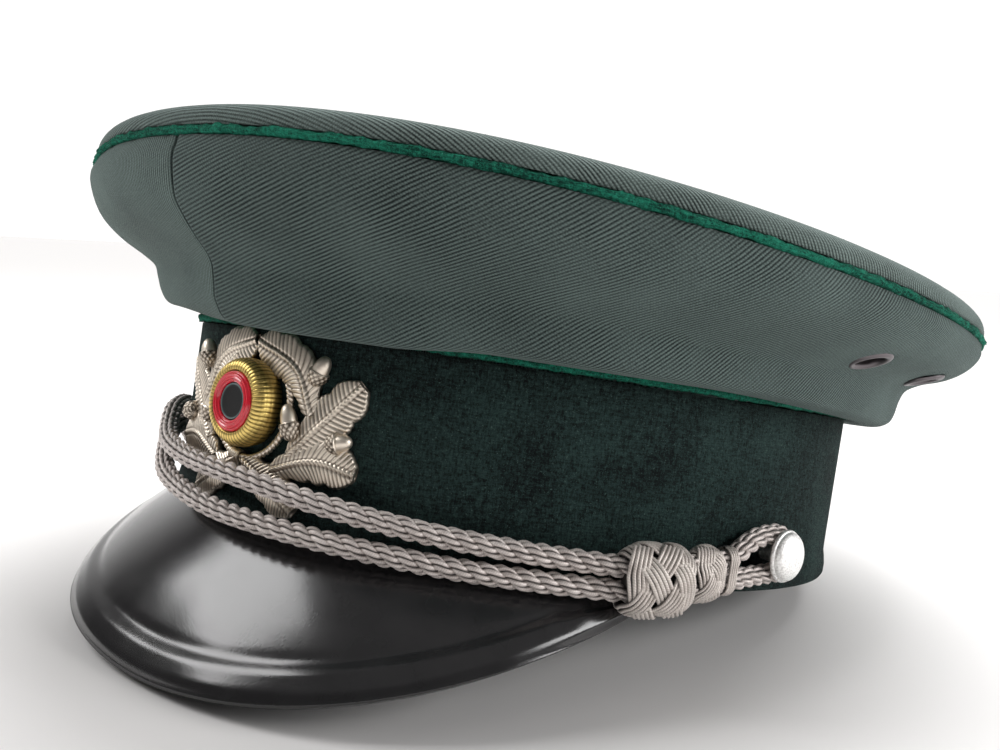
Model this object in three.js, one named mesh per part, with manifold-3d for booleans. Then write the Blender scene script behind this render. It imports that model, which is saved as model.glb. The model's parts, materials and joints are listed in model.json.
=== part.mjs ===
// A peaked cap: cloth band, wide crown with piping, glossy peak, oak wreath with cockade,
// two silver cords with slide knots, side buttons and vent eyelets.
// Millimetres and degrees. The front is -Y, the wearer's left is +X, +Z is up.
// An angle is counted from the front towards the wearer's left.
import * as THREE from 'three';
import { mergeVertices } from 'three/addons/utils/BufferGeometryUtils.js';
import Module from 'manifold-3d';

const wasm = await Module();
wasm.setup();

// Gaps
const clearance = 0.3; // between pieces that touch on the real cap
const sewnGap = 0.3; // between the two crown panels along their seams

// Band round the head
const bandAcross = 177.2; // outer width over the ears
const bandAlong = 202.2; // outer length, front to back
const bandHeight = 44.9; // from its foot to the middle of the thin piping
const bandWall = 3;
const bandFlare = 0.5; // how far its top stands outside its foot
const bandBead = 0.8; // how far the rolled foot stands out
const bandBeadHeight = 6.5;
const bandPipingWidth = 1.8;

// Crown
const crownAcross = 242; // over the piping of the wide top
const crownAlong = 263.4;
const crownForward = 0.7; // the top's middle lies this far in front of the band's
const crownHeight = 75.6; // mean height of the piping above the band's foot
const crownLean = 5.3; // the piping rises this much to the front and falls as much to the back
const crownSaddle = 6.45; // and it falls this much to the sides
const crownWall = 1.6;
const crownPipingWidth = 2.5;
const crownPipingProud = 0.3;
const topRollIn = 7; // the rolled edge of the top cloth
const topRollUp = 6;
const topDip = 1.5; // how far the stretched top sinks in its middle
const topWall = 1.8;

// Peak
const peakReach = 22.3; // how far its tip lies in front of the band
const peakDrop = 32.2; // how far its tip hangs below the band's foot
const peakHalfWidth = 78.15; // at its corners
const peakCornerBack = 42.6; // the corners lie this far in front of the band's middle
const peakWall = 2.2;
const peakRimWidth = 8.5; // the raised border
const peakRimProud = 0.7;
const peakBulge = 1;
const peakBow = 1.24; // exponents of the rim's curve, from above and from the front
const peakArch = 1.69;

// Oak wreath and cockade
const badgeShift = -1.2; // the badge sits this far off the centre line
const badgeHeight = bandHeight * 0.6; // the cockade's middle above the band's foot
const wreathHalfWidth = 31;
const wreathTall = 41;
const leafProud = 1.5; // a leaf's edge and its midrib stand this much off the wreath's back
const leafRib = 2.6;
const ringRadius = 12.4; // rope ring under the cockade
const ringWidth = 1.5;
const acornRadius = 2.1;
const cockadeRadius = 9.9;
const cockadeDepth = 5.6;
const cockadeRingRadius = 6.8;
const cockadeCentreRadius = 4.1;

// Cords, knots and buttons
const cordWidth = 4.7;
const buttonAngle = 80.3;
const buttonHeight = 9.7;
const buttonRadius = 6.25;
const buttonDome = 2.6;
const buttonRim = 1.1;
const shankRadius = 2;
const knotLargeLength = 18;
const knotLargeTall = 16.4;
const knotLargeDeep = 11.6;
const knotSmallLength = 8.6;
const knotSmallTall = 12.6;
const knotSmallDeep = 8.6;

// Eyelets
const eyeletFrontAngle = 80;
const eyeletBackAngle = 100;
const eyeletShare = 0.62; // share of the crown's overhang at the eyelets
const eyeletRadius = 6;
const eyeletHole = 3.1;
const eyeletBarrel = 3.9;
const eyeletProud = 1;

// Numbers of steps, for smooth but light solids
const ringSteps = 40;
const panelSteps = 20;
const peakSteps = 18;
const pipingSides = 5;
const cordSides = 8;
const turnedSides = { cockadeRim: 20, cockadeRing: 16, cockadeCentre: 12, button: 14, eyelet: 12 };

// The crown's side from the thin piping up to the wide one, one row for each fold line. A pair is a
// share of the overhang and a share of the rise between the two pipings. The columns are for the
// right quarter, the centre-front seam, the left quarter, and the sides with the back.
const sideRows = [
  { fold: 'over the piping', right: [0.05, 0.05], front: [0.05, 0.03], left: [0.05, 0.035], side: [0.06, 0.012] },
  { fold: 'under side', right: [0.12, 0.08], front: [0.18, 0.016], left: [0.13, 0.018], side: [0.11, -0.056] },
  { fold: 'ledge', right: [0.22, 0.102], front: [0.36, 0.016], left: [0.27, 0.015], side: [0.26, -0.076] },
  { fold: 'ledge edge', right: [0.31, 0.13], front: [0.455, 0.037], left: [0.36, 0.034], side: [0.355, -0.025] },
  { fold: 'riser foot', right: [0.365, 0.19], front: [0.51, 0.095], left: [0.4, 0.09], side: [0.4, 0.07] },
  { fold: 'riser', right: [0.405, 0.28], front: [0.55, 0.2], left: [0.43, 0.21], side: [0.43, 0.27] },
  { fold: 'riser head', right: [0.45, 0.365], front: [0.58, 0.3], left: [0.465, 0.31], side: [0.48, 0.405] },
  { fold: 'flare foot', right: [0.6, 0.459], front: [0.7, 0.41], left: [0.59, 0.405], side: [0.62, 0.512] },
  { fold: 'flare head', right: [0.79, 0.56], front: [0.86, 0.535], left: [0.78, 0.53], side: [0.8, 0.595] },
  { fold: 'belly foot', right: [0.94, 0.69], front: [0.965, 0.665], left: [0.925, 0.66], side: [0.93, 0.715] },
  { fold: 'belly', right: [1.03, 0.88], front: [1.01, 0.83], left: [1.01, 0.82], side: [1, 0.85] },
];
const quarterAngle = 30; // where the left and right columns hold in full
const sideAngle = 100; // from here to the back the side column holds

// The cords' route: angle, height of each cord's middle, and how far it is lifted off the band.
const cordRoute = [
  { angle: -75.5, upper: 15.0, lower: 6.6, lift: 0.4 },
  { angle: -71.5, upper: 14.3, lower: 8.9, lift: 1.4 },
  { angle: -67, upper: 14.9, lower: 9.9, lift: 2.4 },
  { angle: -62, upper: 15.9, lower: 10.8, lift: 3.4 },
  { angle: -57, upper: 16.9, lower: 11.7, lift: 3.4 },
  { angle: -50, upper: 19.0, lower: 13.2, lift: 1.2 },
  { angle: -42, upper: 20.9, lower: 14.9, lift: 0.4 },
  { angle: -34, upper: 19.4, lower: 13.4, lift: 1.2 },
  { angle: -28, upper: 16.0, lower: 9.6, lift: 1.8 },
  { angle: -20, upper: 13.4, lower: 6.2, lift: 2.8 },
  { angle: -11, upper: 12.0, lower: 4.2, lift: 3.2 },
  { angle: -2, upper: 11.4, lower: 2.7, lift: 3.2 },
  { angle: 7, upper: 10.5, lower: 2.2, lift: 3.2 },
  { angle: 16, upper: 9.1, lower: 1.8, lift: 3.0 },
  { angle: 24, upper: 7.9, lower: 1.3, lift: 2.4 },
  { angle: 32, upper: 6.9, lower: 0.8, lift: 1.8 },
  { angle: 40, upper: 6.3, lower: 0.6, lift: 1.9 },
  { angle: 48, upper: 5.9, lower: 0.6, lift: 2.6 },
  { angle: 53, upper: 5.9, lower: 0.8, lift: 4.0 },
  { angle: 57.6, upper: 6.2, lower: 1.0, lift: 4.7 },
  { angle: 62, upper: 6.9, lower: 1.7, lift: 4.0 },
  { angle: 66, upper: 7.9, lower: 2.8, lift: 2.4 },
  { angle: 70.5, upper: 8.5, lower: 3.3, lift: 1.1 },
  { angle: 75, upper: 12.9, lower: 4.3, lift: 0.3 },
];
const knotPlaces = [
  { side: 'left', large: 57.7, small: 66 },
  { side: 'right', large: -59, small: -67.1 },
];

// Leaves of the wreath's left half, from stalk to tip. A pair is a share of the wreath's half width
// and a share of its height, counted from the cockade's middle. "via" is where the midrib bends,
// and "wide" is the leaf's width as a share of the half width.
const leafRows = [
  { leaf: 'top', from: [0.6, 0.01], via: [0.41, 0.235], to: [0.02, 0.345], wide: 0.32, lobes: 4 },
  { leaf: 'outer', from: [0.48, -0.22], via: [0.73, -0.01], to: [0.95, 0.2], wide: 0.29, lobes: 3 },
  { leaf: 'low', from: [0.34, -0.33], via: [0.68, -0.235], to: [0.99, -0.27], wide: 0.28, lobes: 3 },
  { leaf: 'foot', from: [0.03, -0.31], via: [0.25, -0.4], to: [0.55, -0.55], wide: 0.25, lobes: 3 },
];
const acornRows = [
  { acorn: 'top', from: [0.6, 0.16], to: [0.67, 0.31] },
  { acorn: 'inner', from: [0.49, -0.15], to: [0.385, 0.035] },
  { acorn: 'outer', from: [0.78, -0.135], to: [0.94, -0.1] },
];
const leafSteps = 7;
const acornSides = 7;

const { degToRad, lerp, smoothstep, clamp } = THREE.MathUtils;
const sine = (angle) => Math.sin(degToRad(angle));
const cosine = (angle) => Math.cos(degToRad(angle));
const range = (count) => Array.from({ length: count }, (_, i) => i);
const bandTop = bandHeight - bandPipingWidth / 2 - clearance;
const overhang = (crownAcross - bandAcross) / 2 - bandFlare;
const cordRadius = cordWidth / 2;
const cordBed = bandBead / 2 + cordRadius + clearance;

// Places on the cap

// A point on an oval ring, with its outward direction
function onOval(across, along, forward, angle, up) {
  const point = new THREE.Vector3(across / 2 * sine(angle), -along / 2 * cosine(angle) - forward, up);
  const out = new THREE.Vector3(sine(angle) / across, -cosine(angle) / along, 0).normalize();
  return { point, out };
}

function onBand(angle, offset, up) {
  const grow = 2 * bandFlare * up / bandHeight;
  const { point, out } = onOval(bandAcross + grow, bandAlong + grow, 0, angle, up);
  return point.addScaledVector(out, offset);
}

function bandOutward(angle) {
  return onOval(bandAcross, bandAlong, 0, angle, 0).out;
}

// The angle of a place that lies a given length along the band from the centre front
function angleAlongBand(length) {
  const stride = 0.5;
  let angle = 0;
  let left = Math.abs(length);
  while (left > 0) {
    const piece = onBand(angle, 0, 0).distanceTo(onBand(angle + stride, 0, 0));
    angle += stride * Math.min(1, left / piece);
    left -= piece;
  }
  return Math.sign(length) * angle;
}

const crownEdge = (angle) => crownHeight + crownLean * cosine(angle) - crownSaddle * sine(angle) ** 2;

// A point between the band's top (share 0) and the crown's piping (share 1)
function onCrown(angle, share, up) {
  const inner = onBand(angle, 0, bandHeight);
  const outer = onOval(crownAcross, crownAlong, crownForward, angle, up).point;
  return inner.lerp(outer, share).setZ(up);
}

// Solids from grids of points

function solidFrom(points, triangles) {
  const geometry = new THREE.BufferGeometry();
  const numbers = points.flatMap((point) => point.toArray());
  geometry.setAttribute('position', new THREE.Float32BufferAttribute(numbers, 3));
  geometry.setIndex(triangles.flat());
  return geometry;
}

// Skin between rows of points. A section that closes on itself and a ring that closes on itself
// give a closed ring, and an open ring gets flat ends.
function sweep(sections, ringCloses) {
  const count = sections[0].length;
  const rows = sections.length;
  const triangles = [];
  for (const i of range(ringCloses ? rows : rows - 1)) {
    const near = i * count;
    const far = ((i + 1) % rows) * count;
    for (const j of range(count)) {
      const k = (j + 1) % count;
      triangles.push([near + j, far + j, far + k], [near + j, far + k, near + k]);
    }
  }
  return solidFrom(sections.flat(), triangles);
}

// A sheet with a wall: the outer grid, the inner grid and the edges between them. The inner grid is
// given, so that the caller says in which way the wall grows.
function sheet(outer, inner, { ringCloses = false, endsInPole = false } = {}) {
  const rows = outer.length;
  const count = outer[0].length;
  const points = [...outer.flat(), ...inner.flat()];
  const at = (i, j, side) => side * rows * count + (i % rows) * count + j;
  const triangles = [];
  const quad = (a, b, c, d) => triangles.push([a, b, c], [a, c, d]);
  for (const i of range(ringCloses ? rows : rows - 1)) {
    for (const j of range(count - 1)) {
      if (endsInPole && j === count - 2) {
        triangles.push([at(i, j, 0), at(i + 1, j, 0), at(0, j + 1, 0)]);
        triangles.push([at(i + 1, j, 1), at(i, j, 1), at(0, j + 1, 1)]);
      } else {
        quad(at(i, j, 0), at(i + 1, j, 0), at(i + 1, j + 1, 0), at(i, j + 1, 0));
        quad(at(i + 1, j, 1), at(i, j, 1), at(i, j + 1, 1), at(i + 1, j + 1, 1));
      }
    }
    quad(at(i + 1, 0, 0), at(i, 0, 0), at(i, 0, 1), at(i + 1, 0, 1));
    const end = count - 1;
    if (!endsInPole) quad(at(i, end, 0), at(i + 1, end, 0), at(i + 1, end, 1), at(i, end, 1));
  }
  if (!ringCloses) {
    const last = rows - 1;
    for (const j of range(count - 1)) {
      quad(at(0, j, 0), at(0, j + 1, 0), at(0, j + 1, 1), at(0, j, 1));
      quad(at(last, j + 1, 0), at(last, j, 0), at(last, j, 1), at(last, j + 1, 1));
    }
  }
  return solidFrom(points, triangles);
}

// Outward direction of a surface given by a function of two numbers
function normalOf(surface, u, v, du, dv) {
  const alongU = surface(u + du, v).sub(surface(u - du, v));
  const alongV = surface(u, v + dv).sub(surface(u, v - dv));
  return alongU.cross(alongV).normalize();
}

// Joining and cutting

function toManifold(geometry) {
  const bare = geometry.clone();
  bare.deleteAttribute('normal');
  bare.deleteAttribute('uv');
  const merged = mergeVertices(bare, 1e-4);
  return new wasm.Manifold(new wasm.Mesh({
    numProp: 3,
    vertProperties: new Float32Array(merged.attributes.position.array),
    triVerts: new Uint32Array(merged.index.array),
  }));
}

function fromManifold(solid) {
  const { vertProperties, triVerts } = solid.getMesh();
  const geometry = new THREE.BufferGeometry();
  geometry.setAttribute('position', new THREE.BufferAttribute(vertProperties, 3));
  geometry.setIndex(new THREE.BufferAttribute(triVerts, 1));
  return geometry;
}

function joined(geometries) {
  return fromManifold(geometries.map(toManifold).reduce((all, next) => all.add(next)));
}

function cut(geometry, tools) {
  const rest = tools.map(toManifold).reduce((left, tool) => left.subtract(tool), toManifold(geometry));
  return fromManifold(rest);
}

// A turned piece whose axis points outward at a place
function turned(profile, place, axis, segments) {
  const geometry = new THREE.LatheGeometry(profile.map(([r, h]) => new THREE.Vector2(r, h)), segments);
  const turn = new THREE.Quaternion().setFromUnitVectors(new THREE.Vector3(0, 1, 0), axis);
  return geometry.applyQuaternion(turn).translate(place.x, place.y, place.z);
}

// Band

function bandSolid() {
  const profile = [
    [-bandWall, 0],
    [bandBead * 0.6, 0],
    [bandBead, bandBeadHeight * 0.4],
    [0, bandBeadHeight],
    [0, bandTop],
    [-bandWall, bandTop],
  ];
  const section = (i) => profile.map(([offset, up]) => onBand(i * 360 / ringSteps, offset, up));
  return sweep(range(ringSteps).map(section), true);
}

// A round cord laid along a ring whose middle and outward direction are given
function ringCord(place, radius) {
  const section = (i) => {
    const { point, out } = place(i * 360 / ringSteps);
    return range(pipingSides).map((k) => {
      const turn = k * 360 / pipingSides;
      const corner = point.clone().addScaledVector(out, radius * cosine(turn));
      return corner.setZ(corner.z + radius * sine(turn));
    });
  };
  return sweep(range(ringSteps).map(section), true);
}

const bandPiping = () => ringCord((angle) => ({
  point: onBand(angle, clearance / 2, bandHeight),
  out: bandOutward(angle),
}), bandPipingWidth / 2);

const crownPiping = () => ringCord((angle) => {
  const { point, out } = onOval(crownAcross, crownAlong, crownForward, angle, crownEdge(angle));
  return { point: point.addScaledVector(out, crownPipingProud), out };
}, crownPipingWidth / 2);

// Crown

// Mixes the columns of a fold line for one angle. The seam at the front stands out as a crease.
function foldLine(row, angle) {
  const away = Math.abs(angle);
  const quarter = angle < 0 ? row.right : row.left;
  const crease = 1 - (1 - clamp(away / quarterAngle, 0, 1)) ** 2;
  const round = smoothstep(away, quarterAngle, sideAngle);
  return row.front.map((front, i) => lerp(lerp(front, quarter[i], crease), row.side[i], round));
}

// The panel's outer line at one angle, from the hem inside the band's top to the wide piping
function sideLine(angle) {
  const edge = crownEdge(angle);
  const rise = edge - bandHeight;
  const overPiping = bandHeight + bandPipingWidth / 2 + clearance;
  const hem = [-bandWall / 2, bandPipingWidth / 2].map((out) => [out / overhang, overPiping]);
  const folds = sideRows.map((row) => foldLine(row, angle));
  const lifted = folds.map(([out, up]) => [out, bandHeight + up * rise]);
  return [...hem, ...lifted, [1, edge - crownPipingWidth / 2 - clearance]];
}

// A panel from the front seam to the back seam. Its steps are finer near the front.
function crownPanel(hand) {
  const seam = sewnGap / crownAcross * 180 / Math.PI;
  const angleAt = (step) => {
    const share = step / panelSteps;
    return hand * lerp(seam, 180 - seam, share * (0.6 + 0.4 * share));
  };
  const lines = sideRows.length + 3;
  const surface = (step, line) => {
    const angle = angleAt(clamp(step, 0, panelSteps));
    const [share, up] = sideLine(angle)[clamp(line, 0, lines - 1)];
    return onCrown(angle, share, up);
  };
  const steps = hand > 0 ? range(panelSteps + 1) : range(panelSteps + 1).reverse();
  const outer = steps.map((step) => range(lines).map((line) => surface(step, line)));
  const inner = steps.map((step) => range(lines).map((line) => {
    const out = normalOf(surface, step, line, 1, 1).multiplyScalar(hand);
    if (step === 0 || step === panelSteps) out.setX(0).normalize(); // the seams stay in one plane
    return surface(step, line).addScaledVector(out, -crownWall);
  }));
  return sheet(outer, inner);
}

// The top cloth: it rolls over the edge and is stretched across the oval like a skin on a drum
function crownTop() {
  const start = crownPipingWidth / 2 + clearance;
  const rollTurns = [0, 30, 60, 90];
  const flatShares = [0.75, 0.4, 0];
  const rollShare = 1 - 2 * topRollIn / crownAcross;
  const skin = (angle, share) => {
    const stretch = crownSaddle / 2 * (1 - share ** 2 * cosine(2 * angle));
    return crownHeight + crownLean * share * cosine(angle) - stretch - topDip * (1 - share ** 2);
  };
  const surface = (angle, share, lift) => {
    const { point } = onOval(crownAcross * share, crownAlong * share, crownForward, angle, 0);
    return point.setZ(skin(angle, share) + start + lift);
  };
  const line = (angle, wall) => [
    ...rollTurns.map((turn) => {
      const share = 1 - (1 - rollShare) * (1 - cosine(turn)) - wall * cosine(turn) * 2 / crownAcross;
      return surface(angle, share, (topRollUp - wall) * sine(turn));
    }),
    ...flatShares.map((share) => surface(angle, share * rollShare, topRollUp - wall)),
  ];
  const angles = range(ringSteps).map((i) => i * 360 / ringSteps);
  const options = { ringCloses: true, endsInPole: true };
  return sheet(angles.map((angle) => line(angle, 0)), angles.map((angle) => line(angle, topWall)), options);
}

// Eyelets

function eyeletSeat(angle) {
  const line = sideLine(angle);
  const next = line.findIndex(([share]) => share > eyeletShare);
  const [low, high] = [line[next - 1], line[next]];
  const up = lerp(low[1], high[1], (eyeletShare - low[0]) / (high[0] - low[0]));
  const foot = onCrown(angle, low[0], low[1]);
  const head = onCrown(angle, high[0], high[1]);
  const turn = Math.sign(angle);
  const beside = onCrown(angle + turn, eyeletShare, up).sub(onCrown(angle - turn, eyeletShare, up));
  const axis = beside.cross(head.sub(foot)).normalize().multiplyScalar(turn);
  return { place: onCrown(angle, eyeletShare, up), axis };
}

const eyeletDepth = 2 * crownWall + 2;

function eyelet(angle) {
  const { place, axis } = eyeletSeat(angle);
  const profile = [
    [eyeletHole, -crownWall - eyeletProud],
    [eyeletBarrel, -crownWall - eyeletProud],
    [eyeletBarrel, clearance],
    [eyeletRadius, clearance],
    [(eyeletRadius + eyeletHole) / 2, clearance + eyeletProud],
    [eyeletHole, clearance],
    [eyeletHole, -crownWall - eyeletProud],
  ];
  return turned(profile, place, axis, turnedSides.eyelet);
}

// What is cut out of the cloth for an eyelet: the hole, and a flat seat under its flange
function eyeletCut(angle) {
  const { place, axis } = eyeletSeat(angle);
  const profile = [
    [0, -eyeletDepth],
    [eyeletBarrel + clearance, -eyeletDepth],
    [eyeletBarrel + clearance, 0],
    [eyeletRadius + 2 * clearance, 0],
    [eyeletRadius + 2 * clearance, eyeletDepth],
    [0, eyeletDepth],
  ];
  return turned(profile, place, axis, turnedSides.eyelet);
}

// Peak

function peakSolid() {
  const hem = -bandWall + 0.1;
  const cornerAngle = THREE.MathUtils.radToDeg(Math.acos(peakCornerBack / (bandAlong / 2 + hem)));
  const tip = -bandAlong / 2 - peakReach;
  const rim = (s) => {
    const y = tip - (tip + peakCornerBack) * (1 - cosine(90 * s)) ** peakBow;
    const drop = peakDrop * (1 - Math.abs(s) ** peakArch);
    return new THREE.Vector3(peakHalfWidth * sine(90 * s), y, -clearance - drop);
  };
  // Lines across the peak: under the band first, then down the slope to the raised border
  const section = (s) => {
    const from = onBand(cornerAngle * s, hem, 0).setZ(-clearance);
    const to = rim(s);
    const run = Math.hypot(to.x - from.x, to.y - from.y);
    const flat = Math.min((bandBead + clearance - hem) / run, 0.8);
    const slope = Math.hypot(run * (1 - flat), to.z - from.z);
    const border = 1 - Math.min(peakRimWidth / slope, 0.5);
    const fall = new THREE.Vector3().subVectors(to, from);
    const flatWay = new THREE.Vector3(fall.x, fall.y, 0).normalize();
    const tilt = Math.atan2(-fall.z, run * (1 - flat));
    const out = flatWay.clone().multiplyScalar(Math.sin(tilt)).setZ(Math.cos(tilt));
    const ease = clamp(run / (peakHalfWidth / 6), 0, 1);
    const lip = Math.min(peakRimProud, slope / 10);
    const stations = [
      { t: 0, proud: 0 },
      { t: 0.36 * border, proud: 0 },
      { t: 0.72 * border, proud: 0 },
      { t: border - 0.03, proud: 0 },
      { t: border + 0.03, proud: lip },
      { t: 0.93, proud: lip },
      { t: 1, proud: -lip },
    ];
    const top = [from, ...stations.map(({ t, proud }) => {
      const at = flat + t * (1 - flat);
      const point = from.clone().lerp(to, at).setZ(lerp(from.z, to.z, t));
      return point.addScaledVector(out, proud + ease * peakBulge * Math.sin(Math.PI * t));
    })];
    const under = top.map((point, i) => {
      const way = i === 0 ? new THREE.Vector3(0, 0, 1) : out;
      return point.clone().addScaledVector(new THREE.Vector3(way.x * ease, way.y * ease, way.z), -peakWall);
    });
    return { top, under };
  };
  const shares = range(peakSteps + 1).map((i) => 2 * i / peakSteps - 1);
  const sections = shares.map((share) => section(Math.sign(share) * Math.abs(share) ** 0.9));
  const skin = (side) => sections.map((lines) => lines[side].slice().reverse());
  return sheet(skin('top'), skin('under'));
}

// Wreath: each leaf and acorn is made flat, laid on the curve of the band, and joined to the rest

const wreathBack = clearance + 0.1;

// Lays a flat badge point (across, up, depth) on the band
function onBadge(across, up, depth) {
  const angle = angleAlongBand(badgeShift + across);
  return onBand(angle, wreathBack + depth, badgeHeight + up);
}

// A pair of shares as a place on the flat wreath
const onWreath = ([across, up]) => new THREE.Vector3(across * wreathHalfWidth, up * wreathTall, 0);

function leaf(row, hand, layer) {
  const midrib = new THREE.CatmullRomCurve3([row.from, row.via, row.to].map(onWreath));
  const half = row.wide * wreathHalfWidth / 2;
  const section = (i) => {
    const t = i / leafSteps;
    const centre = midrib.getPoint(t);
    const way = midrib.getTangent(t);
    const aside = new THREE.Vector3(-way.y, way.x, 0);
    const shape = Math.sqrt(Math.sin(Math.PI * lerp(0.12, 0.965, t)));
    const lobe = 1 - 0.16 * (1 - Math.abs(Math.sin(Math.PI * row.lobes * t)));
    const width = half * shape * lobe;
    const edge = leafProud * (1 - 0.35 * t);
    const ribs = leafRib * (1 - 0.25 * t);
    const back = layer * 0.08;
    const across = [
      [-width, back], [-width, edge * 0.55], [-width * 0.55, edge], [0, ribs],
      [width * 0.55, edge], [width, edge * 0.55], [width, back],
    ];
    return across.map(([side, depth]) => {
      const flat = centre.clone().addScaledVector(aside, side);
      return onBadge(hand * flat.x, flat.y, depth);
    });
  };
  return capped(range(leafSteps + 1).map(section), hand < 0);
}

// A lofted bar with both ends closed
function capped(sections, flip) {
  const count = sections[0].length;
  const ordered = flip ? sections.slice().reverse() : sections;
  const body = sweep(ordered, false);
  const triangles = Array.from(body.index.array);
  const last = (ordered.length - 1) * count;
  for (const j of range(count - 2)) {
    triangles.push(0, j + 1, j + 2, last, last + j + 2, last + j + 1);
  }
  body.setIndex(triangles);
  return body;
}

function acorn(row, hand) {
  const [from, to] = [row.from, row.to].map(onWreath).map(({ x, y }) => onBadge(hand * x, y, acornRadius));
  const length = from.distanceTo(to);
  const profile = [
    [0, -acornRadius * 0.6],
    [acornRadius * 0.9, -acornRadius * 0.2],
    [acornRadius, length * 0.3],
    [acornRadius * 0.86, length * 0.36],
    [acornRadius * 0.8, length * 0.8],
    [0, length + acornRadius * 0.3],
  ];
  return turned(profile, from, to.clone().sub(from).normalize(), acornSides);
}

// The open ring of rope under the cockade, with its tie
function ropeRing() {
  const steps = 14;
  const radius = ringWidth / 2;
  const section = (i) => {
    const turn = lerp(-155, 155, i / steps);
    const swell = Math.abs(turn) < 10 ? 1.5 : 1;
    return range(5).map((k) => {
      const reach = ringRadius + swell * radius * cosine(72 * k);
      const depth = radius * (1 + swell * sine(72 * k)) * 1.2 + 0.3;
      return onBadge(reach * sine(turn), -reach * cosine(turn), depth);
    });
  };
  return capped(range(steps + 1).map(section), false);
}

function wreathSolid() {
  const half = (hand) => [
    ...leafRows.map((row, i) => leaf(row, hand, i + (hand < 0 ? leafRows.length : 0))),
    ...acornRows.map((row) => acorn(row, hand)),
  ];
  return joined([...half(1), ...half(-1), ropeRing()]);
}

// Cockade: a ribbed dome, a ring set in its front, and a centre set in the ring

const badgeAngle = () => angleAlongBand(badgeShift);
const cockadePlace = (depth) => onBand(badgeAngle(), clearance + depth, badgeHeight);

function cockadeRim() {
  const seat = cockadeRingRadius + clearance;
  const profile = [
    [0, 0],
    [cockadeRadius, 0],
    [cockadeRadius, cockadeDepth * 0.2],
    [cockadeRadius * 0.94, cockadeDepth * 0.55],
    [lerp(seat, cockadeRadius, 0.4), cockadeDepth * 0.9],
    [seat, cockadeDepth],
    [seat, cockadeDepth * 0.7],
    [0, cockadeDepth * 0.7],
  ];
  return turned(profile, cockadePlace(0), bandOutward(badgeAngle()), turnedSides.cockadeRim);
}

function cockadeRing() {
  const inner = cockadeCentreRadius + clearance;
  const floor = cockadeDepth * 0.7 + clearance;
  const profile = [
    [inner, floor],
    [cockadeRingRadius, floor],
    [cockadeRingRadius, cockadeDepth],
    [lerp(inner, cockadeRingRadius, 0.5), cockadeDepth * 1.08],
    [inner, cockadeDepth],
    [inner, floor],
  ];
  return turned(profile, cockadePlace(0), bandOutward(badgeAngle()), turnedSides.cockadeRing);
}

function cockadeCentre() {
  const floor = cockadeDepth * 0.7 + clearance;
  const profile = [
    [0, floor],
    [cockadeCentreRadius, floor],
    [cockadeCentreRadius, cockadeDepth * 0.98],
    [cockadeCentreRadius * 0.5, cockadeDepth * 1.05],
    [0, cockadeDepth * 1.07],
  ];
  return turned(profile, cockadePlace(0), bandOutward(badgeAngle()), turnedSides.cockadeCentre);
}

// Cords: each runs from behind one button over the front to behind the other

const loopRadius = cordRadius + shankRadius + clearance;

// The quarter turn round a button's shank, from behind it to over or under it
function loopPoints(hand, rising) {
  const degree = onBand(buttonAngle, 0, 0).distanceTo(onBand(buttonAngle + 1, 0, 0));
  return [14, 32, 52, 71, 90].map((turn) => {
    const angle = buttonAngle + loopRadius * cosine(turn) / degree;
    return onBand(hand * angle, cordBed, buttonHeight + rising * loopRadius * sine(turn));
  });
}

// A smooth curve whose steps fall on its chosen points, so that tight turns get short steps
class Route extends THREE.CatmullRomCurve3 {
  getPointAt(share, target) {
    return this.getPoint(share, target);
  }

  getTangentAt(share, target) {
    return this.getTangent(share, target);
  }
}

function cordCurve(which) {
  const rising = which === 'upper' ? 1 : -1;
  const free = cordRoute.map((row) => onBand(row.angle, cordBed + row.lift, row[which]));
  return new Route([
    ...loopPoints(-1, rising),
    ...free,
    ...loopPoints(1, rising).reverse(),
  ]);
}

function roundShape(radius, sides) {
  const corners = range(sides).map((k) => {
    const turn = (k + 0.5) * 360 / sides;
    return new THREE.Vector2(radius * cosine(turn), radius * sine(turn));
  });
  return new THREE.Shape(corners);
}

function cordTube(which, radius) {
  const extrudePath = cordCurve(which);
  const steps = extrudePath.points.length - 1;
  const options = { steps, extrudePath, bevelEnabled: false };
  return new THREE.ExtrudeGeometry(roundShape(radius, cordSides), options);
}

// A slide knot: a barrel round both cords, with a channel for each
function knot(angle, length, tall, deep) {
  const middle = (at) => {
    const next = cordRoute.findIndex((row) => row.angle > at);
    const [a, b] = [cordRoute[next - 1], cordRoute[next]];
    const share = (at - a.angle) / (b.angle - a.angle);
    const mix = (value) => lerp(value(a), value(b), share);
    return onBand(at, cordBed + mix((row) => row.lift), mix((row) => (row.upper + row.lower) / 2));
  };
  const place = middle(angle);
  const way = middle(angle + 1).sub(middle(angle - 1)).normalize();
  const out = bandOutward(angle);
  const over = new THREE.Vector3().crossVectors(out, way).normalize();
  const face = new THREE.Vector3().crossVectors(over, way).normalize();
  const barrel = new THREE.SphereGeometry(1, 9, 6);
  const points = barrel.attributes.position;
  for (const i of range(points.count)) {
    const unit = new THREE.Vector3().fromBufferAttribute(points, i);
    const full = (value) => Math.sign(value) * Math.abs(value) ** 0.8;
    const point = place.clone()
      .addScaledVector(way, full(unit.y) * length / 2)
      .addScaledVector(over, full(unit.x) * tall / 2)
      .addScaledVector(face, full(unit.z) * deep / 2);
    points.setXYZ(i, point.x, point.y, point.z);
  }
  const channel = cordRadius + clearance;
  return cut(barrel, [cordTube('upper', channel), cordTube('lower', channel)]);
}

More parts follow.
